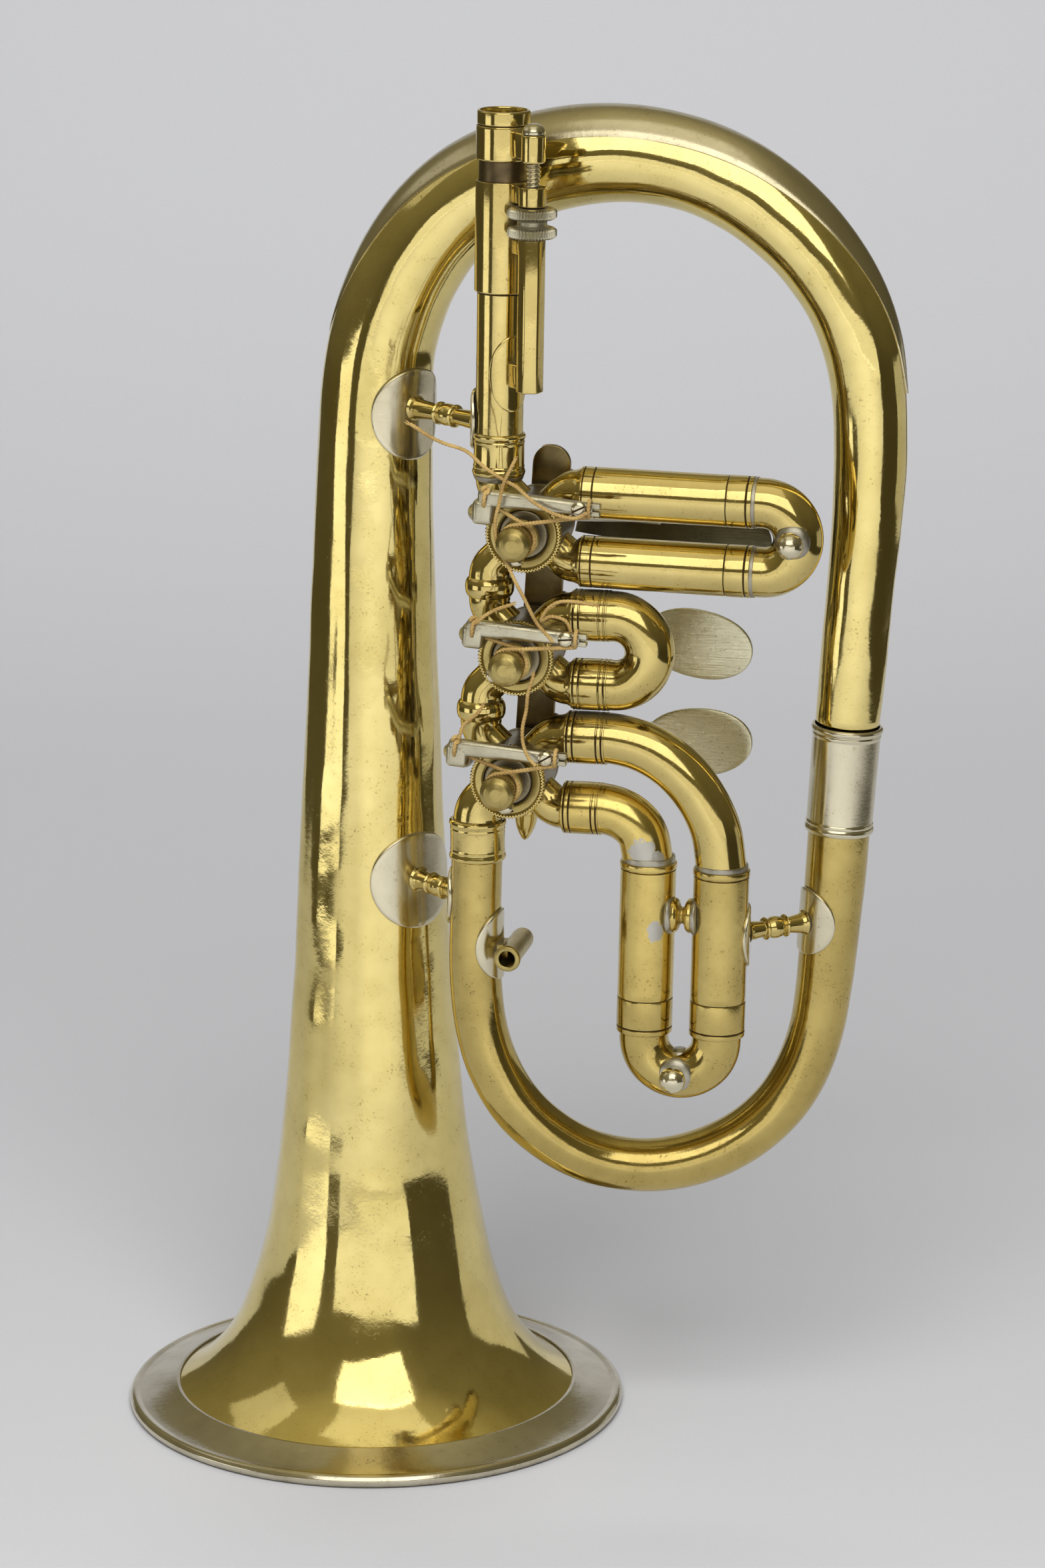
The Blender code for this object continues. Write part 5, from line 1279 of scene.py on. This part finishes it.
lyre = Shape()
LYRE_X, LYRE_Z = 43.3, 133.8
flange(lyre, lyre_pipe, (1, -0.05, 0), 9.2, 8.6, 0.6, THIRD, 1.0)
lyre_profile = [
    (0.0, 0.0), (2.0, 0.0), (2.7, 0.6), (2.85, 2.0), (2.85, 18.0), (2.95, 18.4), (3.3, 18.9),
    (3.4, 19.6), (3.1, 20.2), (2.5, 20.35), (2.05, 20.2), (2.05, 14.0),
]
lathe(lyre, lyre_profile, (LYRE_X, -16.4, LYRE_Z), FRONT, 72, 0, 0.15)
block(lyre, (3.4, 7.0, 3.6), (LYRE_X - 2.6, -27, LYRE_Z), 0.5)
lyre.build("lyre_socket_tube", [DULL, SEAM_AND_GAP_SHADE, NICKEL], "lyre_socket")

# ------------------------------------------------------------------ rail and hinge rod
# ROW climbs from valve 3 to valve 1, ACROSS points towards +X.
ROW = unit((V1[0] - V3[0], 0, V1[1] - V3[1]))
ACROSS = np.array((ROW[2], 0, -ROW[0]))
ROWS = np.array([ACROSS, AWAY, ROW])
HINGE_Y, BAR_Y, RAIL_Y = -12.5, -46.6, -16.5


def rail_point(z, side, y):
    return np.array((V3[0] + (z - V3[1]) * ROW[0] / ROW[2] + side, y, z))


rail = Shape()
RAIL_R = 4.75
arc = [math.pi * k / 24 for k in range(25)]
outline = [(RAIL_R * math.cos(b), 46 - RAIL_R + RAIL_R * math.sin(b)) for b in arc]
outline += [(-x, -y) for x, y in outline]
plate(rail, outline, 0.75, 0.3, 7, rail_point(215.2, 1.5, RAIL_Y), ACROSS, ROW)
for z in (257.4, 227.6, 196.4, 168.9):
    block(rail, (4.8, 5.4, 2.3), rail_point(z, 0, -14.2), 0.35, ROWS)
    knuckle = [(1.4, -1.15), (2.8, -1.15), (2.8, 1.15), (1.4, 1.15)]
    lathe(rail, knuckle, rail_point(z, 0, HINGE_Y), ROW, 48)
rail.build("lever_rail_bar", [RAIL, SEAM_AND_GAP_SHADE], "lever_rail")

rod = Shape()
rod_profile = [
    (0, 93.1), (1.4, 93.0), (2.1, 92.6), (2.1, 91.8), (1.35, 91.7), (1.35, -0.2), (2.9, -0.3),
    (3.1, -0.9), (3.1, -1.7), (2.9, -2.3), (2.75, -4.0), (2.3, -5.8), (1.6, -7.4), (0.8, -8.7),
    (0, -9.2),
]
lathe(rod, rod_profile, rail_point(167.4, 0, HINGE_Y), ROW, 56)
rod.build("hinge_rod", [BRASS, SEAM_AND_GAP_SHADE], "lever_hinge_rod")

# ------------------------------------------------------------------ levers, springs and cords
# Places are (ACROSS, ROW) from the valve's centre. bar is (start, end, height); tube is the
# hinge tube's lower end; start is the key's height at the hinge; slit is the screw slot's tilt
# in radians; neck is where the touchpiece narrows to.
LEVERS = (
    dict(tube=-11.6, block=(-8.6, 6.0), bar=(-10.4, 19.6, 9.7), mid=(-13.6, 1.2),
         paddle=(40.8, -4.9), start=0.5, slit=0.5, neck=(-35.5, 7.6)),
    dict(tube=-11.6, block=(-9.3, 6.0), bar=(-11.4, 18.4, 8.2), mid=(-13.0, 0.6),
         paddle=(38.0, -2.1), start=2.2, slit=0.15, neck=(-30.0, 3.4)),
    dict(tube=-8.6, block=(-11.4, 7.2), bar=(-13.9, 15.4, 9.2), mid=(-13.0, 0.8),
         paddle=(39.8, 3.9), start=-0.5, slit=0.62, neck=(-30.0, 3.4)),
)
REACH = BAR_Y - HINGE_Y
TUBE_TOP = 3.6
SPRING_LOW, SPRING_HIGH, SPRING_TURNS, SPRING_STEPS, WIRE = 4.3, 12.4, 6.5, 260, 0.42
CORD, LOOSE_CORD, CORD_STEP = 0.50, 0.44, 0.13


def strands(s, angle):
    """Radius factor of a cord laid up from three strands."""
    return 0.80 + 0.30 * np.abs(np.cos(1.5 * (angle - TAU * s / 1.7 / 1.5))) ** 1.4


def cord(name, stations, body=None, replaces=None, blend=None, radius=CORD, knot=None, sway=0.0):
    made = Shape()
    rows = spline([(*p, radius) for p in stations], CORD_STEP)
    s = lengths(rows)
    grow = np.clip(s / 4, 0, 1)
    rows[:, 0] += sway * np.sin(s * 0.55 + 1.0) * grow
    rows[:, 2] += sway * 0.8 * np.sin(s * 0.41) * grow
    bar(made, rows, 20, 0.2, strands)
    if knot is not None:
        size = 0.95
        ball = []
        for u in np.linspace(0, 2.3 * TAU, 70):
            swing = (0.8 * math.cos(u), 0.6 * math.sin(2 * u), 0.8 * math.sin(u))
            ball.append((*(knot + size * np.array(swing)), radius))
        bar(made, even(np.array(ball), 0.16), 16, 0.2, strands)
    made.build(name, [TWINE], replaces, body, 80, blend)


def touchpiece(shape, spec, place):
    """The flat plate the finger presses, rounded at +ACROSS and narrowing to a neck."""
    across, up = spec["paddle"]
    slope = math.atan2(up - spec["start"], across - 2.0)
    outline = []
    for k in range(121):
        b = -math.pi * 0.80 + 1.6 * math.pi * k / 120
        cos, sin = math.cos(b), math.sin(b)
        x = 14.0 * math.copysign(abs(cos) ** 0.92, cos)
        outline.append((x, 8.75 * math.copysign(abs(sin) ** 0.95, sin)))
    x1, y1 = outline[-1]
    x2, y2 = spec["neck"]
    neck = [
        (x1 + (x2 - x1) * t, y1 + (y2 - y1) * (1 - (1 - t) ** 1.35))
        for t in np.linspace(0.05, 1, 30)
    ]
    outline += neck + [(x, -y) for x, y in neck[::-1]]
    along = unit(ACROSS * math.cos(slope) + ROW * math.sin(slope))
    over = unit(ROW * math.cos(slope) - ACROSS * math.sin(slope))
    plate(shape, outline, 0.7, 0.35, 9, place(across, 16.5, up), along, over, 3)


def lever_key(number, spec, place):
    lever = Shape()
    low, high = spec["tube"], TUBE_TOP
    tube = [
        (1.45, low), (2.5, low), (2.65, low + 0.3), (2.65, high - 0.3), (2.5, high), (1.45, high),
    ]
    lathe(lever, tube, place(0, 0, 0), ROW, 56, THIRD, 0.12)
    # the arm from the hinge tube forward to the bar: (across, away, up, radius)
    bu, bw = spec["block"]
    mu, mw = spec["mid"]
    arm = (
        (-1.2, 0.4, mw - 0.3, 1.7), (mu + 2.8, 0.6, mw, 1.85), (mu + 0.2, -2.0, mw, 1.95),
        (mu - 0.4, -9.0, mw + 0.3, 1.95), (mu - 0.4, -17.0, mw + 0.6, 1.95),
        (bu - 3.2, REACH + 6.5, bw - 1.0, 1.95), (bu - 0.6, REACH + 2.4, bw, 2.0),
    )
    bar(lever, spline([(*place(*p), r) for *p, r in arm], 0.5), 48, 0.6)
    block(lever, (5.6, 6.2, 6.2), place(bu - 0.2, REACH + 1.5, bw + 0.2), 1.4, ROWS, 0, 5)
    # the bar past the hub, forked at its +ACROSS end
    b0, b1, bh = spec["bar"]
    span = b1 - b0

    def slim(p):
        t = np.clip((p[:, 0] + span / 2) / span, 0, 1)
        p = p.copy()
        p[:, 2] = p[:, 2] * (1.12 - 0.30 * t) + 0.25 * (0.5 - t)
        p[:, 1] *= 1.05 - 0.2 * t
        return p

    bar_mid = place((b0 + b1) / 2 - 0.8, REACH, bh)
    block(lever, (span - 1.6, 3.0, 3.9), bar_mid, 1.15, ROWS, 0, 6, slim)
    block(lever, (2.5, 2.2, 1.35), place(b1 - 0.9, REACH + 0.1, bh + 0.85), 0.3, ROWS)
    block(lever, (2.5, 2.2, 1.2), place(b1 - 0.9, REACH + 0.1, bh - 1.05), 0.3, ROWS)
    block(lever, (1.3, 2.0, 2.6), place(b1 - 2.1, REACH + 0.1, bh - 0.1), 0.25, ROWS)
    riser = place(bu, REACH + 0.7, (bh + bw) / 2)
    block(lever, (3.6, 2.8, bh - bw + 1.5), riser, 0.8, ROWS, 0, 4)
    # the slotted screw in the bar
    head = place(b1 - 4.8, REACH - 1.2, bh)
    screw_profile = [(0, 1.15), (1.1, 1.1), (1.75, 0.75), (1.85, 0.3), (1.85, -0.4), (0, -0.4)]
    lathe(lever, screw_profile, head, FRONT, 56, THIRD, 0.15)
    cos, sin = math.cos(spec["slit"]), math.sin(spec["slit"])
    slit_axes = [unit(ACROSS * cos + ROW * sin), AWAY, unit(ROW * cos - ACROSS * sin)]
    # the slot is a dark slab, painted shade in place of a cut
    block(lever, (3.4, 0.5, 0.42), head + np.array((0, -1.0, 0)), 0.04, slit_axes, DARK, 1)
    touchpiece(lever, spec, place)
    # the shank from the hinge to the touchpiece: (across, away, share of the climb, radius)
    start, climb = spec["start"], spec["paddle"][1] - spec["start"]
    shank = (
        (1.2, 0.6, 0, 1.8), (6.5, 4.0, 0.12, 2.0), (13.5, 11.3, 0.31, 2.0),
        (19.5, 15.6, 0.47, 1.7), (26.0, 16.5, 0.62, 1.0),
    )
    rows = [(*place(u, v, start + climb * f), r) for u, v, f, r in shank]
    bar(lever, spline(rows, 0.5), 48, 0.6)
    # lever 1's touchpiece gets the darker copy, painted shade
    mats = [LEVER, SEAM_AND_GAP_SHADE, NICKEL, PADDLE_PAINTED_SHADE if number == 1 else PADDLE]
    name = f"lever_{number}"
    lever.build(f"{name}_key", mats, name, name, sharp=42)


def lever_spring(number, place):
    spring = Shape()
    coil = []
    for k in range(SPRING_STEPS + 1):
        b = TAU * SPRING_TURNS * (k / SPRING_STEPS - 1) - math.pi / 2
        up = SPRING_LOW + 0.45 + (SPRING_HIGH - SPRING_LOW - 0.9) * k / SPRING_STEPS
        coil.append((*place(2.35 * math.cos(b), 2.35 * math.sin(b), up), WIRE))
    # (across, away, below the top of the coil)
    tail = ((3.6, -2.4, 0.5), (6.7, -2.5, 0.7), (8.0, -2.9, 1.4), (8.3, -3.6, 2.3))
    tail = [(*place(u, v, SPRING_HIGH - drop), WIRE) for u, v, drop in tail]
    coil += list(spline([coil[-1]] + tail, 0.4)[1:])
    bar(spring, np.array(coil), 14, 0.15)
    name = f"lever_{number}"
    spring.build(f"{name}_wire_spring", [STEEL], f"{name}_spring")


def lever_cords(number, spec, place):
    """The working cord: from the bar's -ACROSS end, once round the hub, to the bar's screw."""
    b0, b1, bh = spec["bar"]
    lever, name = f"lever_{number}", f"cord_{number}"
    wrap = 3.5 + CORD + 0.05
    first = place(spec["block"][0] + 2.9, REACH + 0.2, bh - 2.1)
    last = place(b1 - 4.6, REACH - 1.2, bh - 2.2)
    ring = []
    for k in range(41):
        cos, sin = cos_sin(80 - 340 * k / 40)
        ring.append(place(wrap * cos, REACH + 1.2 - 2.6 * k / 40, wrap * sin))
    cord(f"{name}_wrap", ring, f"rotor_{number}")
    for tag, end, touch, replaces in (
        ("in", first, ring[0], None),
        ("out", last, ring[-1], f"action_{name}"),
    ):
        way = [end, (end + touch) / 2, touch]
        if tag == "out":
            way.reverse()
        blend = (lever, "horn_body", end, touch)
        cord(f"{name}_{tag}", way, replaces=replaces, blend=blend)
    lap = place(b1 - 2.6, REACH, bh)
    loop = [
        lap + ACROSS * 0.25 * math.cos(u * 0.5) + AWAY * (-1.75 * math.cos(u))
        + ROW * (2.0 * math.sin(u))
        for u in np.linspace(-1.4, 4.6, 22)
    ]
    cord(f"{name}_hitch", [last] + loop, lever, knot=place(b0 + 2.0, REACH - 1.2, bh + 2.1))
    lap = place(b0 + 1.9, REACH, bh)
    loop = [
        lap + ACROSS * (0.3 * math.sin(u * 0.5)) + AWAY * (-2.1 * math.cos(u))
        + ROW * (2.35 * math.sin(u))
        for u in np.linspace(-2.6, 3.4, 26)
    ]
    cord(f"{name}_tie", loop + [first], lever)


for number, (spec, (cx, cz)) in enumerate(zip(LEVERS, VALVES), 1):
    home = np.array((cx, HINGE_Y, cz))

    def place(across, away, up, home=home):
        return home + ACROSS * across + AWAY * away + ROW * up

    lever_key(number, spec, place)
    lever_spring(number, place)
    lever_cords(number, spec, place)

# Loose cord ends: (body, y of both ends, (x, z) along the cord). They bow towards -Y between.
TAILS = (
    ("lever_1", -49.6, (
        (65.8500, 251.1148), (62.9356, 249.7088), (58.5329, 250.5302), (53.2973, 253.1148),
        (48.7091, 256.8670), (45.7546, 258.3856), (40.8154, 261.6137), (36.3592, 265.0172),
        (31.0626, 266.9083), (26.4146, 268.8221), (22.4225, 271.0883),
    )),
    ("lever_2", -50.4, (
        (57.6997, 219.2451), (54.5862, 222.6123), (52.1327, 226.8348), (49.6775, 231.5437),
        (47.0541, 236.8927), (44.7551, 240.9219), (43.7700, 244.9968), (43.6019, 249.0935),
        (44.7444, 253.7246), (45.8778, 258.3394), (47.0027, 260.9787), (48.1236, 263.1223),
    )),
    ("lever_2", -49.4, (
        (38.7647, 222.7595), (40.1748, 224.2369), (42.5325, 225.7109), (44.8227, 226.7828),
        (47.0660, 227.6398),
    )),
    ("lever_2", -44.5, (
        (61.2879, 219.7365), (59.6679, 223.0384), (56.0565, 224.0702), (53.7562, 222.9833),
        (55.0797, 225.8756), (58.0386, 227.6560), (61.9729, 227.9685), (66.5577, 227.4721),
    )),
    ("lever_3", -50.4, (
        (53.4220, 187.9302), (51.6358, 189.9079), (50.5071, 193.9246), (50.3613, 197.9674),
        (51.3576, 202.3734), (51.8341, 206.0527), (52.4598, 208.7145), (52.7450, 210.0123),
    )),
    ("lever_3", -49.4, (
        (34.1814, 193.7259), (35.1062, 196.5558), (37.1501, 198.5478), (38.7907, 199.9410),
        (39.7171, 201.4139),
    )),
)
for number, (body, y, path) in enumerate(TAILS, 1):
    stations = [
        np.array((x, y - 0.5 * math.sin(math.pi * i / (len(path) - 1)), z))
        for i, (x, z) in enumerate(path)
    ]
    cord(f"cord_tail_{number}", stations, body, radius=LOOSE_CORD, sway=0.12)
    frayed = Shape()
    tip = stations[-1]
    ahead = unit(tip - stations[-2])
    for j in range(5):
        bend = np.array((math.sin(j * 2.4), -0.4, math.cos(j * 2.4))) * 0.45
        fibre = [
            (*(tip - ahead * 0.3), 0.16),
            (*(tip + ahead * 0.5 + bend * 0.5), 0.14),
            (*(tip + ahead * 1.2 + bend), 0.10),
        ]
        bar(frayed, spline(fibre, 0.2), 8, 0.05)
    frayed.build(f"cord_tail_{number}_frayed_end", [TWINE], None, body)

# ------------------------------------------------------------------ backdrop, in metres
AZIMUTH = math.radians(12.0)  # the camera's turn about Z; the backdrop and lights turn with it
AZ_COS, AZ_SIN = math.cos(AZIMUTH), math.sin(AZIMUTH)
# (distance behind the horn, grey level): painted light and shade, darkest near the horn and lighter
# farther off
PAPER_PAINTED_LIGHT = (
    (-0.6, 0.66), (-0.25, 0.60), (-0.08, 0.575), (0.4, 0.59), (0.65, 0.62), (0.91, 0.67),
    (1.09, 0.72), (1.225, 0.765), (1.35, 0.80),
)


def paper_material():
    """Pale paper, its tone varied with distance from the camera as painted light and shade, and
    faintly grained.
    """
    near, far = -0.7, 1.5
    mat, tree, shader, where = new_material("pale_paper")
    grain = node(tree, "ShaderNodeTexNoise", Scale=900.0, Detail=4.0, Vector=where)
    depth = node(
        tree, "ShaderNodeVectorMath", where, (-AZ_SIN, AZ_COS, 0.0), operation="DOT_PRODUCT"
    )
    along = node(
        tree, "ShaderNodeMapRange", From_Min=near, From_Max=far, Value=depth.outputs["Value"]
    )
    stops = [((y + 0.7) / 2.2, (tone, tone, tone * 1.015)) for y, tone in PAPER_PAINTED_LIGHT]
    colour = ramp_of(tree, along.outputs["Result"], stops)
    faint = node(
        tree, "ShaderNodeMapRange", To_Min=0.97, To_Max=1.03, Value=grain.outputs["Fac"]
    )
    product = node(
        tree, "ShaderNodeVectorMath", colour, operation="SCALE", Scale=faint.outputs["Result"]
    )
    feed(tree, shader, {
        "Base Color": product.outputs["Vector"], "Roughness": 0.9, "Specular IOR Level": 0.15,
    })
    return mat


PAPER = paper_material()
CURVE_R = 0.9
# (distance behind the horn, height): floor, curve and wall
sweep = [(-1.75, 0.0), (-0.8, 0.0), (0.75, 0.0)]
for b in np.linspace(0.05, math.pi / 2, 24):
    sweep.append((0.75 + CURVE_R * math.sin(b), CURVE_R - CURVE_R * math.cos(b)))
sweep += [(1.65, 1.15), (1.65, 1.35)]
verts = []
for y, z in sweep:
    widen = 0.9 * max(0.0, -0.8 - y)
    for x in (-0.66 - widen, 0.56 + widen):
        verts.append((x * AZ_COS - y * AZ_SIN, x * AZ_SIN + y * AZ_COS, z))
faces = [(2 * i, 2 * i + 1, 2 * i + 3, 2 * i + 2) for i in range(len(sweep) - 1)]
paper_mesh = bpy.data.meshes.new("backdrop")
paper_mesh.from_pydata(verts, [], faces)
paper_mesh.materials.append(PAPER)
paper_mesh.shade_smooth()
paper = bpy.data.objects.new("backdrop", paper_mesh)
bpy.context.scene.collection.objects.link(paper)

# ------------------------------------------------------------------ lights
HORN_MIDDLE = (0, 0, 0.17)
# Name; azimuth left (-) or right (+) of the camera and elevation, in degrees seen from the
# target; distance, width, height in metres; radiance; target; whether metal mirrors it.
SOFTBOXES = (
    ("window", -2, 40, 1.30, 1.15, 0.84, 1.6, HORN_MIDDLE, True),
    ("low_strip", 0, 1.0, 1.50, 2.5, 0.35, 0.92, HORN_MIDDLE, True),
    ("left_high", -100, 42, 1.30, 0.90, 0.50, 0.32, HORN_MIDDLE, True),
    ("left_key", -70, 0, 1.10, 0.54, 0.32, 1.25, (0, 0, 0.10), True),
    ("right_far", 116, -4, 1.20, 1.20, 0.34, 0.42, (0, 0, 0.16), True),
    ("ceiling", 0, 75, 1.50, 1.0, 0.98, 0.42, (0, 0, 0.05), True),
    ("near_wash", 0, 80, 1.40, 1.9, 0.8, 1.9, (0.31, -1.47, 0.0), False),
    ("front_wash", 0, 80, 1.40, 1.2, 0.8, 5.9, (0.19, -0.92, 0.0), False),
    ("back_wash", 180, 75, 1.6, 1.2, 0.6, 4.1, (-0.2, 1.1, 0.2), False),
)
for name, azimuth, elevation, distance, width, tall, radiance, target, mirrored in SOFTBOXES:
    data = bpy.data.lights.new(name, "AREA")
    data.shape = "RECTANGLE"
    data.size, data.size_y = width, tall
    data.energy = radiance * math.pi * width * tall
    light = bpy.data.objects.new(name, data)
    bpy.context.scene.collection.objects.link(light)
    turn = math.atan2(-AZ_COS, AZ_SIN) + math.radians(azimuth)
    cos, sin = cos_sin(elevation)
    target = Vector(target)
    way = Vector((math.cos(turn) * cos, math.sin(turn) * cos, sin))
    light.location = target + way * distance
    light.rotation_euler = (target - light.location).to_track_quat("-Z", "Y").to_euler()
    light.visible_glossy = mirrored

# ------------------------------------------------------------------ world
# (position from straight down to straight up, grey level)
SKY = ((0.0, 0.07), (0.45, 0.09), (0.60, 0.17), (0.86, 0.26), (1.0, 0.50))
world = bpy.data.worlds.new("studio")
bpy.context.scene.world = world
world.use_nodes = True
tree = world.node_tree
where = node(tree, "ShaderNodeTexCoord").outputs["Generated"]
split = node(tree, "ShaderNodeSeparateXYZ", Vector=where)
height = node(
    tree, "ShaderNodeMapRange", From_Min=-1.0, From_Max=1.0, Value=split.outputs["Z"]
)
stops = [(position, (tone, tone, tone * 1.02)) for position, tone in SKY]
sky = ramp_of(tree, height.outputs["Result"], stops)
# darker towards the camera's right
across = node(
    tree, "ShaderNodeVectorMath", where, (AZ_COS, AZ_SIN, 0.0), operation="DOT_PRODUCT"
)
shade = node(
    tree, "ShaderNodeMapRange",
    From_Min=0.25, From_Max=0.6, To_Min=1.0, To_Max=0.7, Value=across.outputs["Value"],
)
shaded = node(
    tree, "ShaderNodeVectorMath", sky, operation="SCALE", Scale=shade.outputs["Result"]
)
# the room beyond the lights mirrors in the metal as warm shadow
glossy = node(tree, "ShaderNodeLightPath").outputs["Is Glossy Ray"]
warmth = node(
    tree, "ShaderNodeVectorMath", (0.0, -0.12, -0.52), operation="SCALE", Scale=glossy
)
tint = node(
    tree, "ShaderNodeVectorMath", warmth.outputs["Vector"], (1.0, 1.0, 1.0), operation="ADD"
)
warmed = node(
    tree, "ShaderNodeVectorMath", shaded.outputs["Vector"], tint.outputs["Vector"],
    operation="MULTIPLY",
)
feed(tree, tree.nodes["Background"], {"Color": warmed.outputs["Vector"], "Strength": 1.0})

# ------------------------------------------------------------------ camera
camera_data = bpy.data.cameras.new("camera")
camera_data.lens = 118.515
camera_data.sensor_width = 36.0
camera_data.clip_start, camera_data.clip_end = 0.05, 20.0
camera = bpy.data.objects.new("camera", camera_data)
bpy.context.scene.collection.objects.link(camera)
camera.location = (0.26801, -1.24534, 0.50467)
camera.rotation_euler = (math.radians(75.25), 0, AZIMUTH)
bpy.context.scene.camera = camera
bpy.context.scene.view_settings.view_transform = "Standard"
